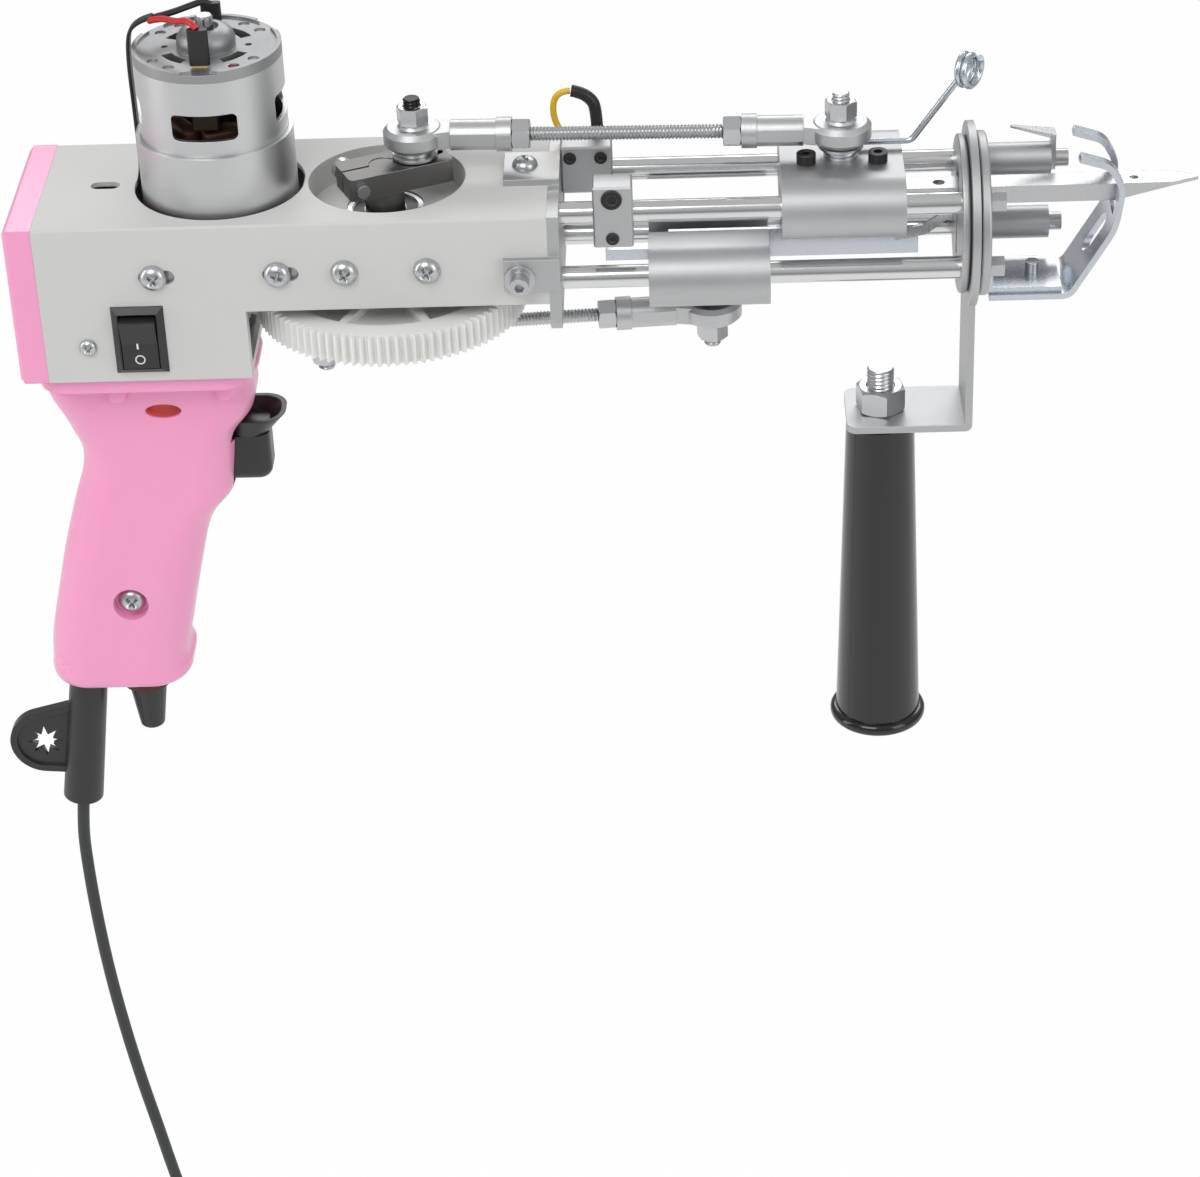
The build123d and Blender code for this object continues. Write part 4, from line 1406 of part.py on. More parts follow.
def housing_pieces():
    keep("main_housing", main_housing())
    keep("rear_cap", rear_cap())
    seat = facing(GRIP_SCREW_X, SCREW_WELL_DEPTH - SCREW_WELL_Y, GRIP_SCREW_Z, (0, -1, 0))
    keep("cross_head_screws", *side_screws(), seat * cross_screw(GRIP_SCREW))
    keep("mount_plate", mount_plate())
    keep("base_plate", base_plate())
    keep("motor_block", motor_block())
    keep("bearing_block", bearing_block())
    keep("crank_bearings", *[bearing(bottom) for bottom in BEARING_BOTTOMS])
    keep("switch_bezel", switch_bezel())
    keep("switch_rocker", switch_rocker())


def crank_pieces():
    keep("crankshaft", crankshaft())
    keep("drive_gear", drive_gear())
    keep("crank_arm", crank_arm())
    keep("crank_pinch_bolt", crank_pinch_bolt())
    upper_crank, upper_carriage_stud = upper_studs()
    lower_crank, lower_carriage_stud = lower_studs()
    ends, bar, nuts = connecting_rod((PIN_X, PIN_Y), UPPER_STUD_X, UPPER_ROD_Z, SHANK_R, ROD_COLLAR_R)
    keep("upper_rod_ends", *ends)
    keep("upper_rod_bar", *bar, *nuts, *upper_crank)
    keep("upper_carriage_stud", *upper_carriage_stud)
    ends, bar, nuts = connecting_rod((LOWER_PIN_X, LOWER_PIN_Y), LOWER_STUD_X, LOWER_ROD_Z,
                                     SLIM_SHANK_R, SLIM_COLLAR_R)
    keep("lower_rod_ends", *ends)
    keep("lower_rod_bar", *bar, *nuts, *lower_crank)
    keep("lower_carriage_stud", *lower_carriage_stud)


def carriage_pieces():
    keep("upper_carriage", upper_carriage())
    screws = [Pos(x, CAP_SCREW_Y, UPPER_TOP) * cap_screw(CAP_HEAD_R, CAP_HEAD, CAP_SOCKET_FLATS,
                                                         CAP_SHANK_R, CAP_SHANK) for x in CAP_SCREWS_X]
    keep("carriage_screws", *screws)
    keep("needle", needle())
    wire = guide_wire()
    print("guide wire volume", round(wire.volume, 1))
    keep("yarn_guide_wire", wire)
    keep("lower_carriage", lower_carriage())
    keep("cutter_plate", cutter_plate())
    keep("scissor_fixed", fixed_blade())
    keep("scissor_moving", moving_blade())


def head_pieces():
    keep("head_plate", head_plate())
    keep("guide_rods", *[guide_rod(y, z) for y, z in GUIDE_PLACES])
    blocks, screws = clamp_parts()
    keep("clamp_blocks", *blocks)
    keep("clamp_screws", *screws)


def front_pieces():
    inner = bored(front_disc(FRONT_X, FRONT_SHEET, DISC_R, DISC_ROUND), GUIDE_R, GUIDE_PLACES, FRONT_X)
    outer = bored(front_disc(OUTER_X, OUTER_SHEET, OUTER_R, DISC_ROUND), ROD_BOLT_R, GUIDE_PLACES, OUTER_X)
    keep("front_plates", inner, outer)
    seals = []
    for x in (BRACKET_X - GASKET, OUTER_X - GASKET):
        seals.append(bored(front_disc(x, GASKET, DISC_R - DISC_ROUND, 0), GUIDE_R, GUIDE_PLACES, x))
    keep("plate_gaskets", *seals)
    keep("handle_bracket", handle_bracket())
    keep("front_handle", front_handle())
    keep("handle_bolt", *handle_bolt())
    keep("standoffs", *[standoff(z) for z in (UPPER_GUIDE_Z, LOWER_GUIDE_Z)])
    keep("hook_blade", hook_blade())
    keep("presser_bracket", presser_bracket())
    keep("presser_foot", presser_foot())
    bolts = [rod_bolt(-GUIDE_Y, z) for z in (UPPER_GUIDE_Z, LOWER_GUIDE_Z)]
    screws = [standoff_screw(UPPER_GUIDE_Z, HOOK_SHEET), standoff_screw(LOWER_GUIDE_Z, 0)]
    keep("frame_screws", *bolts, *screws, presser_screw(), *head_screws())


def grip_pieces():
    front_half, back_half = grip_halves()
    keep("grip_front_half", front_half)
    keep("grip_back_half", back_half)
    (x0, x1), (y0, y1), (z0, z1) = SWITCH_UNIT
    keep("trigger_switch", block(x0, x1, y0, y1, z0, z1))
    keep("trigger", trigger())
    keep("speed_control", speed_control())
    keep("speed_knob", speed_knob())


def cord_pieces():
    keep("strain_relief", strain_relief())
    keep("power_cord", power_cord())
    edges, centre, first, end, way = coil_path()
    path = Wire(edges)
    coil = tube(edges, CORD_R)
    expected = pi * CORD_R ** 2 * path.length
    print("coil length", round(path.length), "volume ratio", round(coil.volume / expected, 4))
    print("coil's least gap to itself", round(least_gap(path, 2 * CORD_R, 3), 2))
    keep("cord_coil", coil)
    keep("cord_tie", coil_tie(centre, first))
    body, barrel = plug_parts(end, way)
    keep("power_plug", body, barrel)


housing_pieces()
motor_pieces()
crank_pieces()
carriage_pieces()
head_pieces()
front_pieces()
grip_pieces()
cord_pieces()
save_all()
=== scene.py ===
"""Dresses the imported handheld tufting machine: finishes, cord, threads, screws, leads and rotor."""
from math import asin, atan2, ceil, cos, pi, radians, sin, tan, tau

import bmesh
import bpy
from mathutils import Matrix, Vector


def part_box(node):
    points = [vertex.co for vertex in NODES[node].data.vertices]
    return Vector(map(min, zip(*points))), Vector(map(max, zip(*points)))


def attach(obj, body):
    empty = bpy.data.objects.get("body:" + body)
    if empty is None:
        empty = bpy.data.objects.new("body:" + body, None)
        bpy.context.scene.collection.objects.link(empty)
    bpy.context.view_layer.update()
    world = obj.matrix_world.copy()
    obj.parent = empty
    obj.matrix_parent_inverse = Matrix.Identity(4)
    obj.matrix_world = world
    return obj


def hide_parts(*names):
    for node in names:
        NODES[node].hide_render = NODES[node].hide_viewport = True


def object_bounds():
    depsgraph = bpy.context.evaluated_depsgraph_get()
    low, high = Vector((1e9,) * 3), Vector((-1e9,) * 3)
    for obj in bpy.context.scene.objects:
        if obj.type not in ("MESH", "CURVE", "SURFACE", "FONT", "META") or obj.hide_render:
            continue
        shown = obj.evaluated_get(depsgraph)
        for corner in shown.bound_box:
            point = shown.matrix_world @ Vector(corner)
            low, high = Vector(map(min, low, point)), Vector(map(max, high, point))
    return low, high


bl_info = {
    "name": "Handheld tufting machine",
    "version": (1, 0, 0),
    "blender": (4, 5, 0),
    "location": "View3D > Sidebar > Tufting machine",
    "description": "Finishes a packed tufting machine and adds its cord, threads, screws and leads",
    "category": "Object",
}

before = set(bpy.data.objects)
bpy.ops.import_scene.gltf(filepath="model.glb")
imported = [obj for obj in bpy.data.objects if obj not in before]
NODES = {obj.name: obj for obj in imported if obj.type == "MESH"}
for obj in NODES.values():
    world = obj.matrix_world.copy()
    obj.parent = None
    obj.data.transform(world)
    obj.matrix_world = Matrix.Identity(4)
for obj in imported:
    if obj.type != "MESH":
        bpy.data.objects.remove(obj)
CAD_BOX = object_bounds()

MM = 0.001
PALM = Vector((16.5, 0.0, -112.0))
UP, NEAR_SIDE, FAR_SIDE = (0, 0, 1), (0, -1, 0), (0, 1, 0)


def at(x, y, z):
    """A place measured in millimetres from the housing's rear edge, centre plane and top face."""
    return (Vector((x, y, z)) - PALM) * MM


# Sizes and colours that a user would change

class MachineSizes(bpy.types.PropertyGroup):
    cord_diameter: bpy.props.FloatProperty(
        name="Cord diameter", description="Outside diameter of the power cord",
        default=3.9 * MM, unit="LENGTH")
    thread_pitch: bpy.props.FloatProperty(
        name="Thread pitch", description="Pitch of the connecting rods' threads",
        default=1.0 * MM, unit="LENGTH")
    edge_radius: bpy.props.FloatProperty(
        name="Edge radius", description="How far edges look rounded on metal",
        default=0.25 * MM, unit="LENGTH")
    lamp_power: bpy.props.FloatProperty(
        name="Lamp power", description="Power of the main softbox", default=11.0, unit="POWER")


class MachineColours(bpy.types.PropertyGroup):
    housing: bpy.props.FloatVectorProperty(
        name="Housing", description="Paint of the housing", subtype="COLOR",
        default=(0.62, 0.62, 0.61))
    plastic: bpy.props.FloatVectorProperty(
        name="Grip", description="Plastic of the grip and the rear cap", subtype="COLOR",
        default=(0.94, 0.355, 0.59))
    gear: bpy.props.FloatVectorProperty(
        name="Gear", description="Nylon of the gears", subtype="COLOR",
        default=(0.84, 0.84, 0.82))


# Node trees written as sums

class Value:
    """A node's socket that takes part in sums."""

    def __init__(self, tree, socket):
        self.tree = tree
        self.socket = socket

    def math(self, operation, *values):
        return self.tree.add("ShaderNodeMath", {"operation": operation}, dict(enumerate(values)))

    def __add__(self, other):
        return self.math("ADD", self, other)

    def __sub__(self, other):
        return self.math("SUBTRACT", self, other)

    def __rsub__(self, other):
        return self.math("SUBTRACT", other, self)

    def __mul__(self, other):
        return self.math("MULTIPLY", self, other)

    def __truediv__(self, other):
        return self.math("DIVIDE", self, other)

    def squared(self):
        return self * self

    def within(self, low, high):
        return self.math("MINIMUM", self.math("MAXIMUM", self, low), high)

    __radd__ = __add__
    __rmul__ = __mul__


class Tree:
    """A node tree that is filled from Python."""

    def __init__(self, tree):
        self.tree = tree

    def add(self, kind, settings=None, inputs=None, output=0):
        node = self.tree.nodes.new(kind)
        for name, setting in (settings or {}).items():
            if name == "stops":
                self.set_stops(node.color_ramp, setting)
            else:
                setattr(node, name, setting)
        for name, value in (inputs or {}).items():
            self.feed(node.inputs[name], value)
        return Value(self, node.outputs[output]) if node.outputs else None

    def feed(self, socket, value):
        if isinstance(value, Value):
            self.tree.links.new(value.socket, socket)
        else:
            socket.default_value = value

    def set_stops(self, ramp, stops):
        while len(ramp.elements) < len(stops):
            ramp.elements.new(1.0)
        for element, (place, colour) in zip(ramp.elements, stops):
            element.position = place
            element.color = (*colour, 1.0)

    def scaled(self, vector, factors):
        both = {0: vector, 1: factors}
        return self.add("ShaderNodeVectorMath", {"operation": "MULTIPLY"}, both)

    def axes(self, vector):
        split = self.add("ShaderNodeSeparateXYZ", {}, {0: vector})
        return [Value(self, output) for output in split.socket.node.outputs]

    def noise(self, vector, scale, detail):
        inputs = {"Vector": vector, "Scale": scale, "Detail": detail}
        return self.add("ShaderNodeTexNoise", {}, inputs)

    def mixed(self, factor, first, second):
        inputs = {0: factor, 6: first, 7: second}
        return self.add("ShaderNodeMix", {"data_type": "RGBA"}, inputs, 2)


def empty_tree(owner):
    """The node tree of a material or world, with nothing in it."""
    owner.use_nodes = True
    owner.node_tree.nodes.clear()
    return Tree(owner.node_tree)


def rgba(colour, level=1.0):
    """An opaque colour for a socket, darkened to a level."""
    return (*[channel * level for channel in colour], 1.0)


SURFACES = {}
WHITE = (1.0, 1.0, 1.0)
FINE_DETAIL, BROAD_DETAIL, BROAD_SCALE = 4.0, 2.0, 45.0
WEAR_GAIN, BUMP_DISTANCE = 6.0, 0.2 * MM


def surface(name, colour, rough, metallic=0.0, grain=(900.0, 900.0, 900.0), bump=0.03,
            spread=0.12, tone=0.08, edge=None, wear=0.0, pattern=None, **sockets):
    """A finish with a fine grain, patches of tone, rounded edges and a little edge wear.

    A pattern takes a place's three values and returns where a second colour lies, and that colour.
    """
    material = bpy.data.materials.new(name)
    tree = empty_tree(material)
    place = tree.add("ShaderNodeTexCoord", output="Object")
    fine = tree.noise(tree.scaled(place, grain), 1.0, FINE_DETAIL)
    broad = tree.noise(place, BROAD_SCALE, BROAD_DETAIL)
    radius = bpy.context.scene.machine_sizes.edge_radius if edge is None else edge
    soft = tree.add("ShaderNodeBevel", {"samples": 4}, {"Radius": radius})
    shade = tree.mixed(broad, rgba(colour, 1.0 - tone), rgba(colour))
    if wear > 0:
        true_normal = tree.add("ShaderNodeNewGeometry", output="Normal")
        both = {0: soft, 1: true_normal}
        facing = tree.add("ShaderNodeVectorMath", {"operation": "DOT_PRODUCT"}, both, "Value")
        worn = ((1.0 - facing) * WEAR_GAIN * fine).within(0.0, wear)
        shade = tree.mixed(worn, shade, rgba(WHITE))
    if pattern is not None:
        where, second = pattern(*tree.axes(place))
        shade = tree.mixed(where, shade, rgba(second))
    raised = tree.add("ShaderNodeBump", {}, {
        "Strength": bump, "Distance": BUMP_DISTANCE, "Height": fine, "Normal": soft})
    inputs = {"Base Color": shade, "Metallic": metallic, "Normal": raised,
              "Roughness": (fine - 0.5) * spread + (broad - 0.5) * spread + rough}
    inputs.update(sockets)
    shader = tree.add("ShaderNodeBsdfPrincipled", {}, inputs)
    tree.add("ShaderNodeOutputMaterial", {}, {"Surface": shader})
    SURFACES[name] = material


# Places and sizes in millimetres that the patterns share with the pieces

CAN_TOP, CRANK_X, LEDGE_WELL = 39.6, 97.5, (29.7, 0.0, -65.0)
THROW, LOWER_THROW, CRANK_ANGLE = 10.0, 21.5, radians(24)
UPPER_PIN = (CRANK_X + THROW * cos(CRANK_ANGLE), THROW * sin(CRANK_ANGLE))
LOWER_PIN = (CRANK_X - LOWER_THROW * cos(CRANK_ANGLE), -LOWER_THROW * sin(CRANK_ANGLE))
UPPER_ROD_Z, LOWER_ROD_Z, BALL_HALF, NUT_HEIGHT = 11.2, -44.4, 4.0, 5.2
SHIELD_INNER_R, SHIELD_OUTER_R, BLACK_TIP_R = 6.0, 9.4, 2.8
WELL_HALF_LENGTH, WELL_HALF_HEIGHT, WELL_MOUTH, WELL_FLOOR = 5.4, 2.6, -16.0, -12.0

# A pattern's edge fades over a tenth of a millimetre, and FAR is beyond every piece, in metres
EDGE_SLOPE, FAR = 10000.0, 1.0


def between(value, low, high):
    """One where a length in metres lies between two limits, else nought."""
    above = ((value - low) * EDGE_SLOPE).within(0.0, 1.0)
    return above * ((high - value) * EDGE_SLOPE).within(0.0, 1.0)


def from_axis(x, y, place):
    """The distance from the upright axis through a place."""
    square = (x - place[0]).squared() + (y - place[1]).squared()
    return square.math("SQRT", square)


def inside_motor(x, y, z):
    """The brush blocks under the motor's end plate are dark."""
    return between(z, 0.0, at(0, 0, CAN_TOP)[2]), (0.035, 0.028, 0.022)


def bearing_shields(x, y, z):
    """The bearings have black shields between their bright rings."""
    reach = from_axis(x, y, at(CRANK_X, 0, 0))
    return between(reach, SHIELD_INNER_R * MM, SHIELD_OUTER_R * MM), (0.02, 0.02, 0.02)


def painted_well_shade(x, y, z):
    """The small oval well under the grip's flange is painted orange red inside: painted shade and
    painted glow of light deep in the plastic.
    """
    middle = at(*LEDGE_WELL)
    long = between(x, middle[0] - WELL_HALF_LENGTH * MM, middle[0] + WELL_HALF_LENGTH * MM)
    tall = between(z, middle[2] - WELL_HALF_HEIGHT * MM, middle[2] + WELL_HALF_HEIGHT * MM)
    return long * tall * between(y, WELL_MOUTH * MM, WELL_FLOOR * MM), (0.78, 0.17, 0.15)


def black_tip(x, y, z):
    """The crank's upper stud has a black tip above its nut."""
    pin = at(*UPPER_PIN, UPPER_ROD_Z + BALL_HALF + NUT_HEIGHT)
    near = between(from_axis(x, y, pin), -FAR, BLACK_TIP_R * MM)
    return near * between(z, pin[2], FAR), (0.03, 0.03, 0.03)


# How fine the grain is along each axis: lines around Z, along X and around X, and grinding marks
AROUND_Z = (60.0, 60.0, 5200.0)
ALONG_X = (40.0, 4200.0, 4200.0)
ROUND_X = (5200.0, 90.0, 90.0)
GROUND = (4200.0, 60.0, 60.0)


def make_surfaces(colours):
    """Every finish: its colour, roughness, metal and grain, then its small differences."""
    surface("housing_paint", colours.housing, 0.50, bump=0.05, spread=0.1, tone=0.03, wear=0.25)
    # Its pattern paints shade and glow into the oval well under the grip's flange.
    surface("pink_plastic", colours.plastic, 0.30, grain=(1500.0,) * 3, bump=0.02, spread=0.08,
            tone=0.03, edge=0.5 * MM, pattern=painted_well_shade, **{
                "Coat Weight": 0.25, "Coat Roughness": 0.12,
                "Subsurface Weight": 0.08, "Subsurface Scale": 0.004})
    surface("zinc_steel", (0.56, 0.57, 0.58), 0.30, 1.0, bump=0.05, wear=0.4)
    surface("screw_zinc", (0.60, 0.61, 0.62), 0.24, 1.0, bump=0.04, edge=0.07 * MM)
    surface("threaded_zinc", (0.62, 0.63, 0.64), 0.30, 1.0, bump=0.04, edge=0.02 * MM,
            pattern=black_tip)
    surface("cast_zinc", (0.60, 0.605, 0.61), 0.42, 1.0, bump=0.12, tone=0.06, wear=0.3)
    surface("satin_aluminium", (0.54, 0.545, 0.55), 0.48, 1.0, bump=0.07, tone=0.06, wear=0.4)
    surface("bearing_steel", (0.45, 0.46, 0.47), 0.24, 1.0, AROUND_Z, bump=0.05,
            pattern=bearing_shields)
    surface("motor_steel", (0.66, 0.665, 0.67), 0.38, 1.0, AROUND_Z, bump=0.05, tone=0.06, wear=0.2)
    surface("motor_cap_steel", (0.40, 0.405, 0.41), 0.50, 1.0, bump=0.05, tone=0.06, wear=0.2,
            pattern=inside_motor)
    surface("core_steel", (0.13, 0.12, 0.11), 0.45, 0.8, AROUND_Z, bump=0.3)
    surface("tinned_brass", (0.72, 0.58, 0.28), 0.3, 1.0)
    surface("dark_steel", (0.24, 0.235, 0.23), 0.44, 1.0, ALONG_X, bump=0.08, tone=0.25, wear=0.5)
    surface("black_oxide", (0.03, 0.03, 0.032), 0.36, 0.6, bump=0.05, wear=0.15)
    surface("polished_rod", (0.76, 0.765, 0.77), 0.13, 1.0, ROUND_X, bump=0.02, spread=0.06)
    surface("blue_zinc", (0.62, 0.66, 0.71), 0.25, 1.0, bump=0.05, tone=0.1, wear=0.3)
    surface("ground_steel", (0.57, 0.58, 0.59), 0.28, 1.0, GROUND, bump=0.06)
    surface("white_nylon", colours.gear, 0.40, bump=0.03, tone=0.05, **{
        "Subsurface Weight": 0.3, "Subsurface Scale": 0.002, "Subsurface Radius": WHITE})
    surface("black_plastic", (0.022, 0.022, 0.024), 0.34, bump=0.08, tone=0.2)
    surface("black_gloss", (0.004, 0.004, 0.005), 0.14, grain=(500.0,) * 3, bump=0.02, spread=0.04,
            edge=0.6 * MM, **{"Coat Weight": 0.3, "Coat Roughness": 0.05})
    surface("grey_plastic", (0.022, 0.022, 0.023), 0.34, bump=0.08, tone=0.15, edge=0.4 * MM)
    surface("dark_red_plastic", (0.07, 0.006, 0.010), 0.30, edge=0.4 * MM)
    surface("cord_jacket", (0.030, 0.033, 0.035), 0.46, bump=0.05, tone=0.1)
    # Painted shade: black sheets stand in the gaps between the front plates, where only shade lies.
    surface("gasket_rubber", (0.015, 0.015, 0.015), 0.6)
    surface("black_sleeve", (0.018, 0.018, 0.020), 0.40, grain=(300.0, 300.0, 2500.0), bump=0.12,
            tone=0.3)
    surface("red_insulation", (0.62, 0.012, 0.018), 0.35)
    surface("yellow_insulation", (0.80, 0.50, 0.02), 0.38)
    surface("polished_copper", (0.70, 0.36, 0.20), 0.25, 1.0, AROUND_Z, bump=0.1)
    surface("enamelled_copper", (0.13, 0.075, 0.05), 0.40, 0.7, AROUND_Z, bump=0.4)
    surface("white_print", (0.86, 0.86, 0.86), 0.45)
    surface("red_print", (0.20, 0.012, 0.030), 0.40)


NODE_FINISHES = {
    "housing_paint": ("main_housing", "bearing_block"),
    "pink_plastic": ("rear_cap", "grip_front_half", "grip_back_half"),
    "zinc_steel": ("cross_head_screws", "mount_plate", "base_plate", "handle_bolt", "frame_screws",
                   "crank_pinch_bolt", "upper_carriage_stud", "upper_rod_bar", "lower_rod_bar",
                   "lower_carriage_stud"),
    "cast_zinc": ("upper_rod_ends", "lower_rod_ends"),
    "satin_aluminium": ("motor_block", "head_plate", "clamp_blocks", "front_plates",
                        "handle_bracket", "standoffs", "upper_carriage", "lower_carriage"),
    "bearing_steel": ("crank_bearings",),
    "motor_steel": ("motor_can", "motor_flux_ring"),
    "motor_cap_steel": ("motor_end_cap",),
    "core_steel": ("motor_armature",),
    "tinned_brass": ("motor_terminals",),
    "dark_steel": ("crank_arm", "crankshaft"),
    "black_oxide": ("clamp_screws", "carriage_screws"),
    "polished_rod": ("guide_rods",),
    "blue_zinc": ("presser_bracket", "presser_foot", "yarn_guide_wire", "cutter_plate"),
    "ground_steel": ("hook_blade", "needle", "scissor_fixed", "scissor_moving"),
    "white_nylon": ("drive_gear", "motor_pinion"),
    "black_plastic": ("switch_bezel", "switch_rocker", "trigger_switch", "cord_tie", "power_plug"),
    "dark_red_plastic": ("speed_control",),
    "black_gloss": ("front_handle",),
    "grey_plastic": ("strain_relief", "trigger", "speed_knob"),
    # The black sheets between the front plates are painted shade in their gaps.
    "gasket_rubber": ("plate_gaskets",),
}


# Meshes

TURNED_SIDES, NUT_SIDES, NUT_CORNER_SLOPE = 48, 60, tan(radians(30))
NUT_FACE_SHARE, NUT_MOUTH_SHARE, WASHER_LIP = 0.96, 1.12, 0.15 * MM


def linked(name, data):
    """A new object at the origin, in the scene."""
    piece = bpy.data.objects.new(name, data)
    bpy.context.scene.collection.objects.link(piece)
    return piece


def named_mesh(name, shape, finish):
    """An object at the origin from a filled bmesh."""
    mesh = bpy.data.meshes.new(name)
    bmesh.ops.recalc_face_normals(shape, faces=shape.faces)
    shape.to_mesh(mesh)
    shape.free()
    mesh.materials.append(SURFACES[finish])
    return linked(name, mesh)


def smooth_by_angle(piece, degrees=32):
    """Shades a piece smoothly, apart from edges that turn by more than an angle."""
    for polygon in piece.data.polygons:
        polygon.use_smooth = True
    piece.data.set_sharp_from_angle(angle=radians(degrees))


def circle(radius, sides):
    """Evenly spread places on a circle, as x and y."""
    return [(radius * cos(tau * i / sides), radius * sin(tau * i / sides)) for i in range(sides)]


def bridge(shape, low, high):
    """Faces from one ring of points to the next. A ring of one point makes a tip."""
    count = max(len(low), len(high))
    for i in range(count):
        j = (i + 1) % count
        corners = (low[i % len(low)], low[j % len(low)], high[j % len(high)], high[i % len(high)])
        shape.faces.new(list(dict.fromkeys(corners)))


def turned(profile):
    """A lathe shape about Z from a profile of radius and height, in metres."""
    shape = bmesh.new()
    rings = []
    for radius, height in profile:
        places = circle(radius, TURNED_SIDES) if radius > 0 else [(0, 0)]
        rings.append([shape.verts.new((x, y, height)) for x, y in places])
    for low, high in zip(rings, rings[1:]):
        bridge(shape, low, high)
    return shape


def hex_nut(flats, height, bore):
    """A nut with its corners turned down at both ends."""
    shape = bmesh.new()
    flat_r = flats / 2
    inner, mouth = flat_r * NUT_FACE_SHARE, bore * NUT_MOUTH_SHARE

    def ring(radius, height_at):
        points = []
        for i in range(NUT_SIDES):
            angle = tau * i / NUT_SIDES
            r = radius(angle)
            points.append(shape.verts.new((r * cos(angle), r * sin(angle), height_at(r))))
        return points

    def outline(angle):
        return flat_r / cos((angle + pi / 6) % (pi / 3) - pi / 6)

    rings = [
        ring(lambda a: bore, lambda r: mouth - bore),
        ring(lambda a: mouth, lambda r: 0.0),
        ring(lambda a: inner, lambda r: 0.0),
        ring(outline, lambda r: (r - inner) * NUT_CORNER_SLOPE),
        ring(outline, lambda r: height - (r - inner) * NUT_CORNER_SLOPE),
        ring(lambda a: inner, lambda r: height),
        ring(lambda a: mouth, lambda r: height),
        ring(lambda a: bore, lambda r: height - mouth + bore),
    ]
    for first, second in zip(rings, rings[1:] + rings[:1]):
        bridge(shape, first, second)
    return shape


def washer(outer, inner, height):
    """A flat ring that stands on the origin, with its outer edges broken."""
    lip = min(height / 4, WASHER_LIP)
    shape = turned([(inner, 0.0), (outer - lip, 0.0), (outer, lip), (outer, height - lip),
                    (outer - lip, height), (inner, height), (inner, 0.0)])
    bmesh.ops.remove_doubles(shape, verts=shape.verts, dist=1e-7)
    return shape


def joined(name, parts, finish):
    """One piece from (bmesh, matrix) pairs, each put in its place."""
    whole = bmesh.new()
    for shape, matrix in parts:
        scratch = bpy.data.meshes.new("scratch")
        shape.to_mesh(scratch)
        shape.free()
        scratch.transform(matrix)
        whole.from_mesh(scratch)
        bpy.data.meshes.remove(scratch)
    return named_mesh(name, whole, finish)


def place_on(point, direction, spin=0.0):
    """A matrix that puts local Z along a direction at a point."""
    turn = Vector(direction).to_track_quat("Z", "Y").to_matrix().to_4x4()
    return Matrix.Translation(point) @ turn @ Matrix.Rotation(spin, 4, "Z")


# Geometry node trees

def grow_tree(name, inputs):
    """A new geometry tree with named inputs: the tree, its input values and their identifiers."""
    group = bpy.data.node_groups.new(name, "GeometryNodeTree")
    group.interface.new_socket("Geometry", in_out="OUTPUT", socket_type="NodeSocketGeometry")
    identifiers = {}
    for label, kind in {"Geometry": "Geometry", **inputs}.items():
        socket = group.interface.new_socket(
            label, in_out="INPUT", socket_type="NodeSocket" + kind)
        identifiers[label] = socket.identifier
    tree = Tree(group)
    entry = group.nodes.new("NodeGroupInput")
    values = {label: Value(tree, entry.outputs[label]) for label in identifiers}
    return tree, values, identifiers


def finish_tree(tree, geometry, material):
    """Ends a geometry tree: instances made real, one material, and the output."""
    real = tree.add("GeometryNodeRealizeInstances", {}, {"Geometry": geometry})
    coloured = tree.add("GeometryNodeSetMaterial", {}, {"Geometry": real, "Material": material})
    tree.add("NodeGroupOutput", {}, {"Geometry": coloured})


def evaluated_mesh(source):
    """The plain mesh of an object as its modifiers and curve settings leave it."""
    bpy.context.view_layer.update()
    graph = bpy.context.evaluated_depsgraph_get()
    return bpy.data.meshes.new_from_object(source.evaluated_get(graph), depsgraph=graph)


def grown_mesh(source, tree, identifiers, values):
    """Runs a geometry tree on an object and returns the plain mesh that comes out."""
    modifier = source.modifiers.new("grow", "NODES")
    modifier.node_group = tree.tree
    for label, value in values.items():
        modifier[identifiers[label]] = value
    mesh = evaluated_mesh(source)
    source.modifiers.remove(modifier)
    return mesh


def grown_piece(name, source, tree, identifiers, values):
    """Runs a geometry tree on a scratch object and keeps what comes out as a new piece."""
    mesh = grown_mesh(source, tree, identifiers, values)
    bpy.data.objects.remove(source)
    return linked(name, mesh)


def point_source(name, points=((0.0, 0.0, 0.0),)):
    """A scratch object of loose points, which a geometry tree starts from."""
    mesh = bpy.data.meshes.new(name)
    mesh.from_pydata([tuple(p) for p in points], [], [])
    return linked(name, mesh)


FLANK_SLOPE, CREST_SHARE, THREAD_DEPTH_SHARE, RINGS_PER_TURN = 1.5, 0.25, 0.36, 5


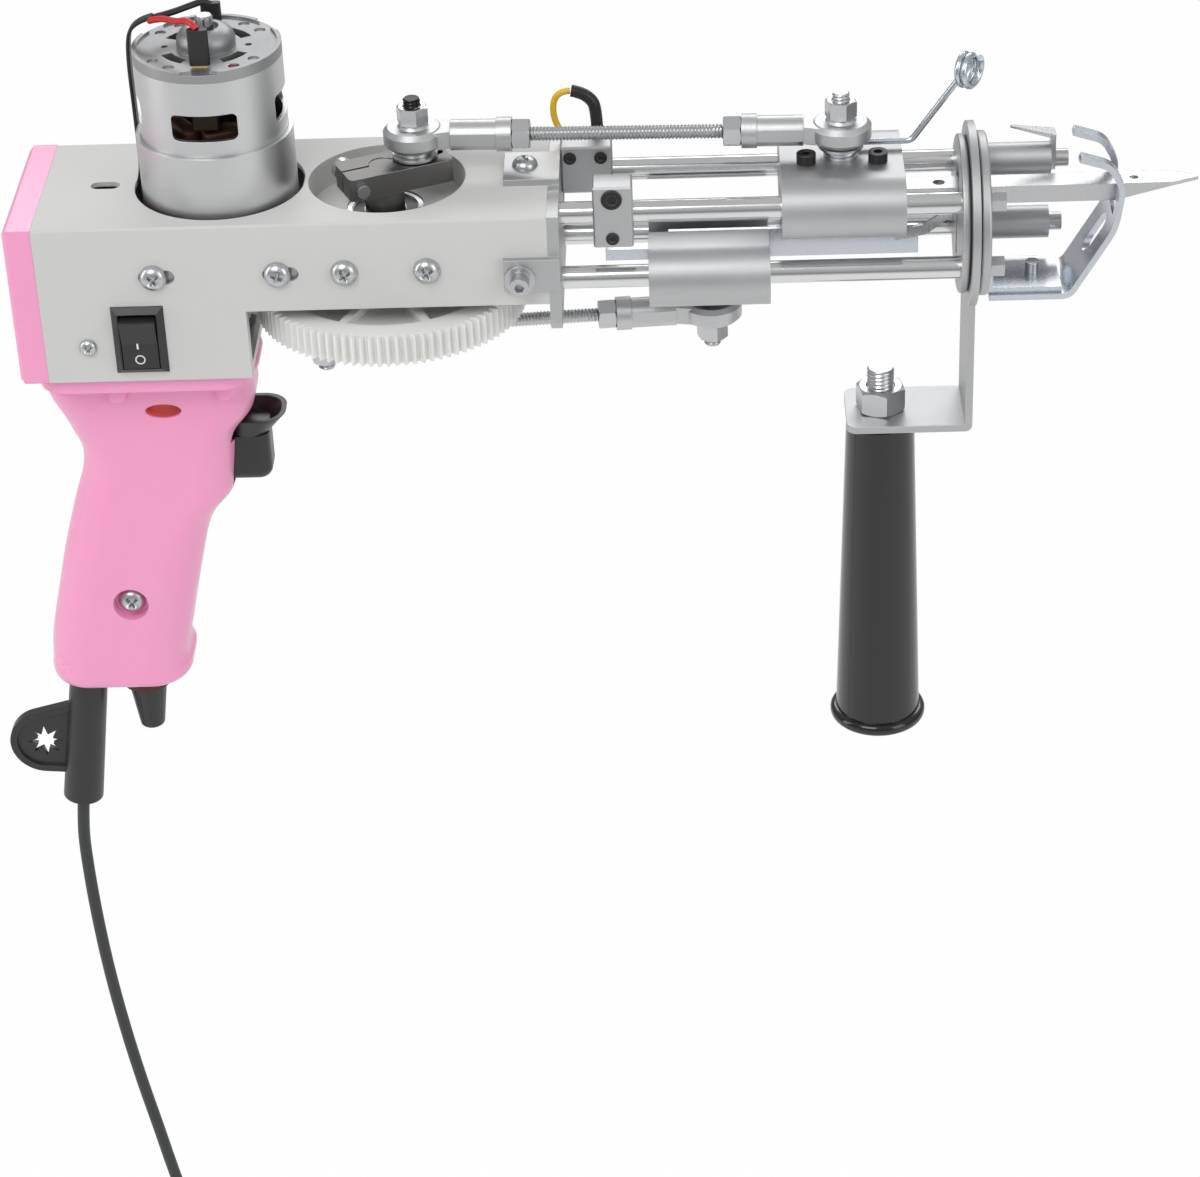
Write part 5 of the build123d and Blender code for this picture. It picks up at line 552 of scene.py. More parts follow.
def thread_tree():
    """A threaded bar: a cylinder whose skin follows a helix, thinner at its two ends."""
    tree, value, names = grow_tree("thread", {
        "Radius": "Float", "Depth": "Float", "Pitch": "Float", "Length": "Float",
        "Rings": "Int", "Sides": "Int", "Material": "Material"})
    bar = tree.add("GeometryNodeMeshCylinder", {"fill_type": "NGON"}, {
        "Vertices": value["Sides"], "Side Segments": value["Rings"],
        "Radius": value["Radius"], "Depth": value["Length"]})
    place = tree.add("GeometryNodeInputPosition")
    x, y, z = tree.axes(place)
    turns = z / value["Pitch"] - x.math("ARCTAN2", y, x) / tau
    slant = turns.math("FRACT", turns) * 2.0 - 1.0
    groove = (slant.math("ABSOLUTE", slant) * FLANK_SLOPE - CREST_SHARE).within(0.0, 1.0)
    to_end = value["Length"] / 2.0 - z.math("ABSOLUTE", z)
    near_end = (1.0 - to_end / value["Depth"]).within(0.0, 1.0)
    cut = groove.math("MAXIMUM", groove, near_end) * value["Depth"]
    flat = tree.add("ShaderNodeCombineXYZ", {}, {0: x, 1: y, 2: 0.0})
    outward = tree.add("ShaderNodeVectorMath", {"operation": "NORMALIZE"}, {0: flat})
    inward = {0: outward, "Scale": cut * -1.0}
    shift = tree.add("ShaderNodeVectorMath", {"operation": "SCALE"}, inward)
    shaped = tree.add("GeometryNodeSetPosition", {}, {"Geometry": bar, "Offset": shift})
    finish_tree(tree, shaped, value["Material"])
    return tree, names


THREAD = {}


def thread(radius, length, pitch, sides=20):
    """A threaded bar as a bmesh, centred on the origin along Z."""
    if not THREAD:
        THREAD["tree"], THREAD["names"] = thread_tree()
        THREAD["source"] = point_source("thread_source")
    mesh = grown_mesh(THREAD["source"], THREAD["tree"], THREAD["names"], {
        "Radius": radius, "Depth": THREAD_DEPTH_SHARE * pitch, "Pitch": pitch,
        "Length": length, "Rings": ceil(length / pitch * RINGS_PER_TURN), "Sides": sides})
    shape = bmesh.new()
    shape.from_mesh(mesh)
    bpy.data.meshes.remove(mesh)
    return shape


def screw_tree():
    """Copies of one screw at every point, each with that point's own turn and size."""
    tree, value, names = grow_tree("screws", {"Screw": "Object", "Material": "Material"})
    screw = tree.add("GeometryNodeObjectInfo", {}, {"Object": value["Screw"]}, "Geometry")
    turn, size = [tree.add("GeometryNodeInputNamedAttribute", {"data_type": kind}, {"Name": label})
                  for kind, label in (("FLOAT_VECTOR", "turn"), ("FLOAT", "size"))]
    copies = tree.add("GeometryNodeInstanceOnPoints", {}, {
        "Points": value["Geometry"], "Instance": screw, "Rotation": turn, "Scale": size})
    finish_tree(tree, copies, value["Material"])
    return tree, names


def sleeve_tree():
    """A tube of rounded rectangular section along a curve."""
    tree, value, names = grow_tree("sleeve", {
        "Width": "Float", "Thickness": "Float", "Corner": "Float", "Material": "Material"})
    outline = tree.add("GeometryNodeCurvePrimitiveQuadrilateral", {"mode": "RECTANGLE"}, {
        "Width": value["Width"], "Height": value["Thickness"]})
    rounded = tree.add("GeometryNodeFilletCurve", {"mode": "POLY"}, {
        "Curve": outline, "Count": 4, "Radius": value["Corner"]})
    tube = tree.add("GeometryNodeCurveToMesh", {}, {
        "Curve": value["Geometry"], "Profile Curve": rounded, "Fill Caps": True})
    finish_tree(tree, tube, value["Material"])
    return tree, names


def nurbs(name, points, resolution=12):
    """An open smooth curve that starts and ends at its first and last point."""
    data = bpy.data.curves.new(name, "CURVE")
    data.dimensions = "3D"
    data.resolution_u = resolution
    spline = data.splines.new("NURBS")
    spline.points.add(len(points) - 1)
    for point, place in zip(spline.points, points):
        point.co = (*place, 1.0)
    spline.order_u = 3
    spline.use_endpoint_u = True
    return linked(name, data)


def lead(name, route, radius, finish, body="frame"):
    """An insulated lead along a route, in millimetres."""
    curve = nurbs(name + "_route", [at(*p) for p in route])
    curve.data.bevel_depth = radius * MM
    curve.data.bevel_resolution = 5
    curve.data.use_fill_caps = True
    mesh = evaluated_mesh(curve)
    bpy.data.objects.remove(curve)
    mesh.materials.clear()
    mesh.materials.append(SURFACES[finish])
    piece = linked(name, mesh)
    smooth_by_angle(piece, degrees=50)
    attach(piece, body)
    return piece


# Camera, floor and lamps

CAMERA_PLACE = Vector((0.167076, -0.908272, 0.542791))
CAMERA_PITCH, CAMERA_YAW, CAMERA_ROLL = radians(32.145), radians(1.827), radians(-2.324)
CAMERA_LENS, SENSOR, CLIP_START = 105.014, 36.0, 0.01


class PlaceCamera(bpy.types.Operator):
    """Places the camera where the photograph was taken from."""
    bl_idname = "machine.place_camera"
    bl_label = "Place camera"

    def execute(self, context):
        ahead = Vector((-sin(CAMERA_YAW) * cos(CAMERA_PITCH),
                        cos(CAMERA_YAW) * cos(CAMERA_PITCH), -sin(CAMERA_PITCH)))
        level = Vector((cos(CAMERA_YAW), sin(CAMERA_YAW), 0.0))
        over = level.cross(ahead)
        right = level * cos(CAMERA_ROLL) + over * sin(CAMERA_ROLL)
        up = over * cos(CAMERA_ROLL) - level * sin(CAMERA_ROLL)
        data = bpy.data.cameras.new("camera")
        data.sensor_width = SENSOR
        data.sensor_fit = "HORIZONTAL"
        data.lens = CAMERA_LENS
        data.clip_start = CLIP_START
        camera = linked("camera", data)
        turn = Matrix((right, up, -ahead)).transposed().to_4x4()
        camera.matrix_world = Matrix.Translation(CAMERA_PLACE) @ turn
        context.scene.camera = camera
        return {"FINISHED"}


FLOOR_DROP, FLOOR_HALF = 0.006, 6.0
FLOOR_GREY, FLOOR_GLOW = 0.90, 0.96
WORLD_STOPS = (
    # share of the way up from straight below, colour
    (0.0, (0.34, 0.34, 0.34)), (0.46, (0.22, 0.22, 0.225)), (0.60, (0.40, 0.405, 0.41)),
    (0.85, (0.58, 0.58, 0.58)),
)
LAMPS = (
    # name, place, aim, width, height, share of the main lamp's power
    ("key", (-0.35, -1.1, 1.35), (0.12, 0.0, 0.06), 0.9, 0.9, 1.0),
    ("fill", (1.25, -0.9, 0.55), (0.15, 0.0, 0.0), 0.7, 1.1, 0.45),
    ("rear_strip", (0.3, 1.2, 0.9), (0.12, 0.0, 0.05), 1.4, 0.35, 0.55),
    ("left_strip", (-1.1, -0.2, 0.4), (0.0, 0.0, 0.0), 0.3, 1.2, 0.3),
)


class SetStage(bpy.types.Operator):
    """Adds the pale floor, the soft lamps and the world."""
    bl_idname = "machine.set_stage"
    bl_label = "Set stage"

    def execute(self, context):
        self.add_floor()
        self.add_world(context)
        for name, place, aim, width, height, share in LAMPS:
            lamp = bpy.data.lights.new(name, "AREA")
            lamp.shape = "RECTANGLE"
            lamp.size, lamp.size_y = width, height
            lamp.energy = context.scene.machine_sizes.lamp_power * share
            turn = (Vector(aim) - Vector(place)).to_track_quat("-Z", "Y").to_matrix().to_4x4()
            linked(name, lamp).matrix_world = Matrix.Translation(place) @ turn
        context.scene.view_settings.view_transform = "Standard"
        return {"FINISHED"}

    def add_floor(self):
        shape = bmesh.new()
        low = CAD_BOX[0][2] - FLOOR_DROP
        corners = ((-1, -1), (1, -1), (1, 1), (-1, 1))
        places = [(x * FLOOR_HALF, y * FLOOR_HALF, low) for x, y in corners]
        shape.faces.new([shape.verts.new(place) for place in places])
        material = bpy.data.materials.new("floor")
        tree = empty_tree(material)
        seen = tree.add("ShaderNodeLightPath", output="Is Camera Ray")
        matte = tree.add("ShaderNodeBsdfDiffuse", {}, {"Color": rgba((FLOOR_GREY,) * 3)})
        glow = tree.add("ShaderNodeEmission", {}, {"Strength": 1.0})
        both = tree.add("ShaderNodeMixShader", {}, {0: seen * FLOOR_GLOW, 1: matte, 2: glow})
        tree.add("ShaderNodeOutputMaterial", {}, {"Surface": both})
        SURFACES["floor"] = material
        named_mesh("floor", shape, "floor")

    def add_world(self, context):
        world = bpy.data.worlds.new("studio")
        tree = empty_tree(world)
        way = tree.add("ShaderNodeTexCoord", output="Generated")
        height = tree.add("ShaderNodeSeparateXYZ", {}, {0: way}, 2)
        grey = tree.add("ShaderNodeValToRGB", {"stops": WORLD_STOPS}, {0: height * 0.5 + 0.5})
        camera = tree.add("ShaderNodeLightPath", output="Is Camera Ray")
        shade = tree.mixed(camera, grey, rgba(WHITE))
        light = tree.add("ShaderNodeBackground", {}, {"Color": shade, "Strength": 1.0})
        tree.add("ShaderNodeOutputWorld", {}, {"Surface": light})
        context.scene.world = world


# The power cord

CORD_ROUTE = (
    (-11.9, 0.0, -207.9), (-14.3, 0.0, -224.0), (-14.5, 0.1, -240.0), (-13.8, 0.2, -262.0),
    (-12.3, 0.4, -285.0), (-9.7, 0.5, -309.0), (-6.4, 0.4, -332.0), (-2.7, 0.2, -353.0),
    (0.2, 0.0, -371.0), (3.6, 0.0, -388.6), (12.6, 0.0, -401.8), (24.6, 0.0, -408.9),
)
CORD_RADIUS = 1.95
COIL_LAYERS, COIL_TURNS, COIL_PITCH, COIL_MID_RADIUS = 4, 3, 4.5, 21.4
COIL_POINTS = 16  # in each turn
CLIMB_TURNS = 0.25  # at each end of a layer, where half the way to the next layer is made
PLUG_LEAD = 14.0


def coil_points():
    """The coil's turns, as points a little outside them, where the curve cuts inside."""
    start, before = Vector(CORD_ROUTE[-1]), Vector(CORD_ROUTE[-2])
    heading = (start - before).normalized()
    outer = COIL_MID_RADIUS + COIL_PITCH * COIL_TURNS / 2
    slope = COIL_PITCH / tau
    start += heading * 2 * CORD_RADIUS
    first = atan2(heading.z, heading.x) + pi / 2 + atan2(slope, outer)
    centre = start - Vector((cos(first), 0, sin(first))) * outer
    swell = 1 / cos(pi / COIL_POINTS)
    total = COIL_LAYERS * COIL_TURNS
    points = [start]
    for i in range(total * COIL_POINTS):
        turns = (i + 0.5) / COIL_POINTS
        layer = min(int(turns // COIL_TURNS), COIL_LAYERS - 1)
        part = turns - layer * COIL_TURNS
        radius = outer - COIL_PITCH * (part if layer % 2 == 0 else COIL_TURNS - part)
        climb = drop = 0
        if layer < COIL_LAYERS - 1:
            climb = min(max((part - COIL_TURNS + CLIMB_TURNS) / (2 * CLIMB_TURNS), 0), 0.5)
        if layer > 0:
            drop = 0.5 - min(part / (2 * CLIMB_TURNS), 0.5)
        angle = first - tau * turns
        out = Vector((cos(angle), 0, sin(angle))) * radius * swell
        points.append(centre + out + Vector((0, COIL_PITCH * (layer + climb - drop), 0)))
    end = centre + Vector((cos(first), 0, sin(first))) * outer
    end += Vector((0, COIL_PITCH * (COIL_LAYERS - 1), 0))
    way = Vector((sin(first), 0, -cos(first))) * outer
    way += Vector((cos(first), 0, sin(first))) * slope
    return [*points, end, end + way.normalized() * PLUG_LEAD]


class AddCord(bpy.types.Operator):
    """Adds the power cord at its real length, with its put-away coil."""
    bl_idname = "machine.add_cord"
    bl_label = "Power cord"

    def execute(self, context):
        route = [Vector(p) for p in CORD_ROUTE] + coil_points()
        cord = nurbs("cord", [at(*p) for p in route], resolution=8)
        diameter = context.scene.machine_sizes.cord_diameter
        cord.data.bevel_depth = diameter / 2
        cord.data.bevel_resolution = 6
        cord.data.use_fill_caps = True
        cord.data.materials.append(SURFACES["cord_jacket"])
        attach(cord, "frame")
        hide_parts("power_cord", "cord_coil")
        return {"FINISHED"}


class DressNodes(bpy.types.Operator):
    """Gives every carried-over piece its finish."""
    bl_idname = "machine.dress_nodes"
    bl_label = "Finishes"

    def execute(self, context):
        for finish, names in NODE_FINISHES.items():
            for name in names:
                mesh = NODES[name].data
                mesh.materials.clear()
                mesh.materials.append(SURFACES[finish])
        return {"FINISHED"}


# Threaded bars, nuts, studs and washers of the connecting rods

UPPER_STUD_X, LOWER_STUD_X = 228.0, 190.6
ROD_R, STUD_R, NUT_FLATS = 2.1, 2.5, 8.0
ROD_END_REACH = 28.1
ARM_TOP, UPPER_TOP, GEAR_BOTTOM, LOWER_BOTTOM = 4.6, 3.3, -40.0, -35.2
STUD_TIP, SEAT_GAP, SIDE_PLAY = 2.4, 0.3, 0.1
WIRE_Z, WIRE_R = 5.25, 0.9
WIDE_WASHER_R, WIDE_WASHER, SMALL_WASHER_R, WIRE_WASHER_R = 6.5, 1.0, 4.9, 3.2
STUD_DEPTH, BAR_END_GAP, WIRE_GAP = 5, 0.1, 0.05
NUT_BORE_SHARE, WASHER_BORE_SHARE = 0.97, 1.02
NUT_SPIN, HANDLE_NUT_SPIN, THREAD_SMOOTH = 0.3, 0.2, 28


def nut_on(flats, height, bar_radius):
    """A nut whose bore bites a little into its bar, from sizes in millimetres."""
    return hex_nut(flats * MM, height * MM, bar_radius * MM * NUT_BORE_SHARE)


def rod_bar(pin, stud_x, z, pitch):
    """A threaded bar and its two lock nuts, in place between two rod ends."""
    start, end = at(*pin, z), at(stud_x, 0.0, z)
    way = (end - start).normalized()
    reach = ROD_END_REACH * MM
    length = (end - start).length - 2 * reach
    middle = (start + end) / 2
    parts = [(thread(ROD_R * MM, length - BAR_END_GAP * MM, pitch), place_on(middle, way))]
    for place in (start + way * reach, end - way * (reach + NUT_HEIGHT * MM)):
        parts.append((nut_on(NUT_FLATS, NUT_HEIGHT, ROD_R), place_on(place, way)))
    return parts


def stud_parts(x, y, foot, tip, nut_low, pitch):
    """An upright stud, threaded all along, and its nut. All but the pitch is in millimetres."""
    low, high = sorted((foot, tip))
    bar = thread(STUD_R * MM, (high - low) * MM, pitch)
    return [(bar, place_on(at(x, y, (low + high) / 2), UP)),
            (nut_on(NUT_FLATS, NUT_HEIGHT, STUD_R), place_on(at(x, y, nut_low), UP, NUT_SPIN))]


def washer_parts(x, y, rings):
    """Washers on an upright stud, each from its radius, bottom and top in millimetres."""
    parts = []
    for radius, low, high in rings:
        shape = washer(radius * MM, STUD_R * MM * WASHER_BORE_SHARE, (high - low) * MM)
        parts.append((shape, place_on(at(x, y, low), UP)))
    return parts


class AddRodHardware(bpy.types.Operator):
    """Adds threads, nuts, studs and washers to both connecting rods."""
    bl_idname = "machine.add_rod_hardware"
    bl_label = "Connecting rod hardware"

    def execute(self, context):
        pitch = context.scene.machine_sizes.thread_pitch
        high, low = UPPER_ROD_Z + BALL_HALF, LOWER_ROD_Z - BALL_HALF
        top, bottom = high + NUT_HEIGHT + STUD_TIP, low - NUT_HEIGHT - STUD_TIP
        foot = ARM_TOP + SEAT_GAP
        parts = rod_bar(UPPER_PIN, UPPER_STUD_X, UPPER_ROD_Z, pitch)
        parts += stud_parts(*UPPER_PIN, foot, top, high, pitch)
        parts += washer_parts(*UPPER_PIN, (
            (WIDE_WASHER_R, foot, foot + WIDE_WASHER),
            (SMALL_WASHER_R, foot + WIDE_WASHER, UPPER_ROD_Z - BALL_HALF)))
        self.keep("upper_rod_hardware", parts, "upper_rod", "upper_rod_bar")
        parts = rod_bar(LOWER_PIN, LOWER_STUD_X, LOWER_ROD_Z, pitch)
        foot = GEAR_BOTTOM - SEAT_GAP
        parts += stud_parts(*LOWER_PIN, foot, bottom, low - NUT_HEIGHT, pitch)
        self.keep("lower_rod_hardware", parts, "lower_rod", "lower_rod_bar")
        wire_low, wire_high = WIRE_Z - WIRE_R, WIRE_Z + WIRE_R
        eye_low = UPPER_ROD_Z - BALL_HALF - SIDE_PLAY
        parts = stud_parts(UPPER_STUD_X, 0.0, UPPER_TOP - STUD_DEPTH, top + SIDE_PLAY,
                           high + SIDE_PLAY, pitch)
        parts += washer_parts(UPPER_STUD_X, 0.0, (
            (SMALL_WASHER_R, UPPER_TOP, wire_low - WIRE_GAP), (WIRE_WASHER_R, wire_low, wire_high),
            (WIDE_WASHER_R, wire_high + WIRE_GAP, eye_low)))
        self.keep("upper_stud_hardware", parts, "needle_carriage", "upper_carriage_stud")
        washer_low = LOWER_ROD_Z + BALL_HALF + SIDE_PLAY
        parts = stud_parts(LOWER_STUD_X, 0.0, LOWER_BOTTOM + STUD_DEPTH, bottom - SIDE_PLAY,
                           low - NUT_HEIGHT - SIDE_PLAY, pitch)
        parts += washer_parts(LOWER_STUD_X, 0.0, (
            (WIDE_WASHER_R, washer_low, washer_low + WIDE_WASHER),
            (SMALL_WASHER_R, washer_low + WIDE_WASHER, LOWER_BOTTOM)))
        self.keep("lower_stud_hardware", parts, "cutter_carriage", "lower_carriage_stud")
        return {"FINISHED"}

    def keep(self, name, parts, body, node):
        piece = joined(name, parts, "threaded_zinc")
        smooth_by_angle(piece, THREAD_SMOOTH)
        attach(piece, body)
        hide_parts(node)


HANDLE_X, FOOT_TOP, HANDLE_STUD_R, HANDLE_STUD_RISE = 239.9, -79.0, 4.0, 13.6
HANDLE_NUT_FLATS, HANDLE_NUT, HANDLE_PITCH = 13.0, 7.6, 1.25
BRACKET_SHEET, HANDLE_STUD_DEPTH = 2.2, 34.0


class AddHandleStud(bpy.types.Operator):
    """Adds the front handle's threaded stud and nut."""
    bl_idname = "machine.add_handle_stud"
    bl_label = "Handle stud"

    def execute(self, context):
        low, high = FOOT_TOP - BRACKET_SHEET - HANDLE_STUD_DEPTH, FOOT_TOP + HANDLE_STUD_RISE
        bar = thread(HANDLE_STUD_R * MM, (high - low) * MM, HANDLE_PITCH * MM, sides=32)
        nut = nut_on(HANDLE_NUT_FLATS, HANDLE_NUT, HANDLE_STUD_R)
        parts = [(bar, place_on(at(HANDLE_X, 0, (low + high) / 2), UP)),
                 (nut, place_on(at(HANDLE_X, 0, FOOT_TOP), UP, HANDLE_NUT_SPIN))]
        piece = joined("handle_stud", parts, "threaded_zinc")
        smooth_by_angle(piece, THREAD_SMOOTH)
        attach(piece, "frame")
        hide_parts("handle_bolt")
        return {"FINISHED"}


# Leads and sleeves of the motor, and the yellow lead

MOTOR_X, END_PLATE = 50.7, 2.6
RED_ROUTE = (
    (34.9, 3.4, 48.6), (38.6, 0.6, 50.6), (44.2, -8.0, 52.8), (48.7, -13.4, 55.6),
    (50.5, -15.2, 53.4),
)
BLACK_ROUTE = (
    (34.9, 5.9, 48.4), (39.4, 9.4, 48.0), (45.2, 13.4, 48.6), (49.4, 15.2, 49.4),
    (50.7, 15.4, 48.0),
)
DOWN_ROUTE = (
    (35.6, 4.6, 49.4), (29.8, 4.8, 48.0), (27.6, 5.0, 41.0), (27.9, 5.0, 17.0), (28.0, 5.0, -2.5),
    (17.2, 3.0, -13.0), (16.4, -4.0, -33.0), (23.5, -11.6, -36.4), (27.2, -16.4, -35.4),
)
YELLOW_ROUTE = (
    (139.0, 20.7, -16.0), (149.3, 20.7, -16.0), (149.3, 20.7, 1.0), (145.6, 20.7, 8.4),
    (146.8, 20.7, 16.0), (151.0, 20.7, 16.2),
)
TAIL_ROUTE = (
    (151.4, 20.7, 16.2), (156.2, 20.7, 15.2), (159.2, 20.7, 9.0), (158.4, 20.7, -20.0),
)
LEAD_R, TAIL_R = 0.95, 1.8
DOWN_WIDTH, DOWN_THICK, SLEEVE_CORNER_SHARE = 3.8, 1.0, 0.45
TERMINAL_Y, TERMINAL_WIDTH, TERMINAL_THICK, TERMINAL_RISE = 15.4, 4.6, 0.8, 6.0
SLEEVE_FOOT, SLEEVE_SPARE_WIDTH, SLEEVE_SPARE_THICK, SLEEVE_STEPS = 1.0, 1.2, 1.6, 5
TERMINAL_SLEEVES = (
    # name, side of the motor, how far it stands above its terminal
    ("front_sleeve", -1, 5.4), ("rear_sleeve", 1, 0.5),
)


class AddLeads(bpy.types.Operator):
    """Adds the motor's leads and sleeves, and the yellow lead by the head plate."""
    bl_idname = "machine.add_leads"
    bl_label = "Leads"

    def execute(self, context):
        lead("red_lead", RED_ROUTE, LEAD_R, "red_insulation")
        black = lead("black_lead", BLACK_ROUTE, LEAD_R, "black_sleeve")
        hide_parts("wire_leads")
        lead("yellow_lead", YELLOW_ROUTE, LEAD_R, "yellow_insulation")
        lead("black_tail", TAIL_ROUTE, TAIL_R, "black_sleeve")
        tree, names = sleeve_tree()
        self.sleeve("down_sleeve", DOWN_ROUTE, DOWN_WIDTH, DOWN_THICK, "MINIMUM", tree, names)
        low = CAN_TOP + END_PLATE + SLEEVE_FOOT
        top = CAN_TOP + END_PLATE + TERMINAL_RISE
        width, thick = TERMINAL_WIDTH + SLEEVE_SPARE_WIDTH, TERMINAL_THICK + SLEEVE_SPARE_THICK
        for name, side, reach in TERMINAL_SLEEVES:
            rise = top + reach - low
            route = [(MOTOR_X, side * TERMINAL_Y, low + rise * i / SLEEVE_STEPS)
                     for i in range(SLEEVE_STEPS + 1)]
            self.sleeve(name, route, width, thick, "Z_UP", tree, names)
        return {"FINISHED"}

    def sleeve(self, name, route, width, thick, twist, tree, names):
        curve = nurbs(name + "_route", [at(*p) for p in route])
        curve.data.twist_mode = twist
        piece = grown_piece(name, curve, tree, names, {
            "Width": width * MM, "Thickness": thick * MM,
            "Corner": thick * MM * SLEEVE_CORNER_SHARE, "Material": SURFACES["black_sleeve"]})
        smooth_by_angle(piece, degrees=40)
        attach(piece, "frame")


# Cross-head screws

HEAD_R, HEAD_H, SHANK_R, SHANK_LENGTH = 3.9, 2.6, 2.0, 6.0
HEAD_SIDES, HEAD_RINGS, HEAD_LIP = 112, 28, -0.02
DOME_POWER, DOME_ROOT = 2.6, 1.9
RECESS_REACH, RECESS_HALF, RECESS_DEPTH = 2.2, 0.6, 1.5
RECESS_END_SLOPE, RECESS_SIDE_SLOPE = 1.3, 4.5
SIDE_Y, SIDE_SCREW_Z = 28.5, -15.5
SIDE_SCREWS = (
    # x, spin in degrees on the near side and on the far side
    (33.2, 48, 12), (68.3, 70, 81), (87.2, 30, 55), (110.5, 35, 5),
)
SCREWS = (
    # x, y, z, direction, head radius, spin in degrees
    *[(x, -SIDE_Y, SIDE_SCREW_Z, NEAR_SIDE, HEAD_R, near) for x, near, far in SIDE_SCREWS],
    *[(x, SIDE_Y, SIDE_SCREW_Z, FAR_SIDE, HEAD_R, far) for x, near, far in SIDE_SCREWS],
    (12.5, -SIDE_Y, -37.1, NEAR_SIDE, 2.6, 40), (12.5, SIDE_Y, -37.1, FAR_SIDE, 2.6, 64),
    (138.0, 2.2, 1.9, UP, 3.7, 25), (13.1, -12.9, -132.0, NEAR_SIDE, 4.2, 42),
)


def recess_depth(x, y):
    """How deep the cross recess is below the head's dome."""
    depth = 0.0
    for along, across in ((abs(x), abs(y)), (abs(y), abs(x))):
        depth = max(depth, min(RECESS_DEPTH, (RECESS_REACH - along) * RECESS_END_SLOPE,
                               (RECESS_HALF - across) * RECESS_SIDE_SLOPE))
    return depth


def cross_head_screw():
    """A pan-head screw with its seat at the origin and its head up."""
    shape = bmesh.new()
    grid = [[shape.verts.new((0, 0, (HEAD_H - RECESS_DEPTH) * MM))]]
    for k in range(1, HEAD_RINGS + 1):
        radius = HEAD_R * sin(k / HEAD_RINGS * pi / 2)
        dome = HEAD_H * max(1 - (radius / HEAD_R) ** DOME_POWER, 0) ** (1 / DOME_ROOT)
        places = [(x, y, dome - recess_depth(x, y)) for x, y in circle(radius, HEAD_SIDES)]
        grid.append([shape.verts.new(Vector(p) * MM) for p in places])
    for radius, height in ((HEAD_R, HEAD_LIP), (SHANK_R, HEAD_LIP), (SHANK_R, -SHANK_LENGTH)):
        places = [(x, y, height) for x, y in circle(radius, HEAD_SIDES)]
        grid.append([shape.verts.new(Vector(p) * MM) for p in places])
    for inner, outer in zip(grid, grid[1:]):
        bridge(shape, inner, outer)
    shape.faces.new(grid[-1])
    return named_mesh("screw_pattern", shape, "screw_zinc")


class AddScrews(bpy.types.Operator):
    """Adds the cross-head screws of the housing, the tab and the grip."""
    bl_idname = "machine.add_screws"
    bl_label = "Cross-head screws"

    def execute(self, context):
        pattern = cross_head_screw()
        smooth_by_angle(pattern, degrees=30)
        source = point_source("screw_places", [at(*screw[:3]) for screw in SCREWS])
        turns = source.data.attributes.new("turn", "FLOAT_VECTOR", "POINT")
        for place, (x, y, z, way, _, spin) in zip(turns.data, SCREWS):
            place.vector = place_on(at(x, y, z), way, radians(spin)).to_euler()
        sizes = source.data.attributes.new("size", "FLOAT", "POINT")
        for place, screw in zip(sizes.data, SCREWS):
            place.value = screw[4] / HEAD_R
        tree, names = screw_tree()
        piece = grown_piece("cross_head_screw_set", source, tree, names, {
            "Screw": pattern, "Material": SURFACES["zinc_steel"]})
        bpy.data.objects.remove(pattern)
        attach(piece, "frame")
        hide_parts("cross_head_screws")
        return {"FINISHED"}


# The motor's rotor, seen through the can's windows

ROTOR_R, ROTOR_LOW, ROTOR_HIGH, ROTOR_HUB = 16.6, -12.0, 18.0, 7.0
POLES, POLE_SPAN, NECK_HALF, SHOE, SHOE_STEPS = 5, 62, 2.6, 3.4, 12
COMMUTATOR_R, COMMUTATOR_LOW, COMMUTATOR_TOP = 6.0, 23.0, 33.0
BARS, BAR_INNER_R, BAR_HALF_SPAN = 10, 2.6, 17
WINDING_HALF, WINDING_RISE, WINDING_CORNER, WINDING_GAP = 5.6, 3.4, 1.6, 0.4
SHAFT_R, SHAFT_TOP, SHAFT_CHAMFER = 2.5, 51.4, 0.4


def around_tree():
    """Copies of one part, spread evenly around Z."""
    tree, value, names = grow_tree("around", {
        "Part": "Object", "Count": "Int", "Material": "Material"})
    points = tree.add("GeometryNodeMeshLine", {}, {
        "Count": value["Count"], "Offset": (0.0, 0.0, 0.0)})
    part = tree.add("GeometryNodeObjectInfo", {}, {"Object": value["Part"]}, "Geometry")
    turn = tree.add("GeometryNodeInputIndex") * tau / value["Count"]
    spin = tree.add("ShaderNodeCombineXYZ", {}, {2: turn})
    copies = tree.add("GeometryNodeInstanceOnPoints", {}, {
        "Points": points, "Instance": part, "Rotation": spin})
    finish_tree(tree, copies, value["Material"])
    return tree, names


def prism(outline, low, high):
    """A straight shape over a flat outline, in millimetres."""
    shape = bmesh.new()
    rings = [[shape.verts.new(Vector((x, y, z)) * MM) for x, y in outline] for z in (low, high)]
    bridge(shape, *rings)
    for ring in rings:
        shape.faces.new(ring)
    return shape


def polar(radius, degrees):
    """The x and y of a place on a circle."""
    return radius * cos(radians(degrees)), radius * sin(radians(degrees))


def neck_angle(radius):
    """Half the angle that a pole's neck takes up at a radius, in degrees."""
    return asin(NECK_HALF / radius) * 180 / pi


def rotor_outline():
    """The poles, each a straight neck under a curved shoe."""
    points, half = [], POLE_SPAN / 2
    neck = (ROTOR_HUB, ROTOR_R - SHOE)
    for pole in range(POLES):
        middle = pole * 360 / POLES
        points += [polar(radius, middle - neck_angle(radius)) for radius in neck]
        points.append(polar(ROTOR_R - SHOE / 2, middle - half))
        points += [polar(ROTOR_R, middle - half + POLE_SPAN * i / SHOE_STEPS)
                   for i in range(SHOE_STEPS + 1)]
        points.append(polar(ROTOR_R - SHOE / 2, middle + half))
        points += [polar(radius, middle + neck_angle(radius)) for radius in reversed(neck)]
    return points


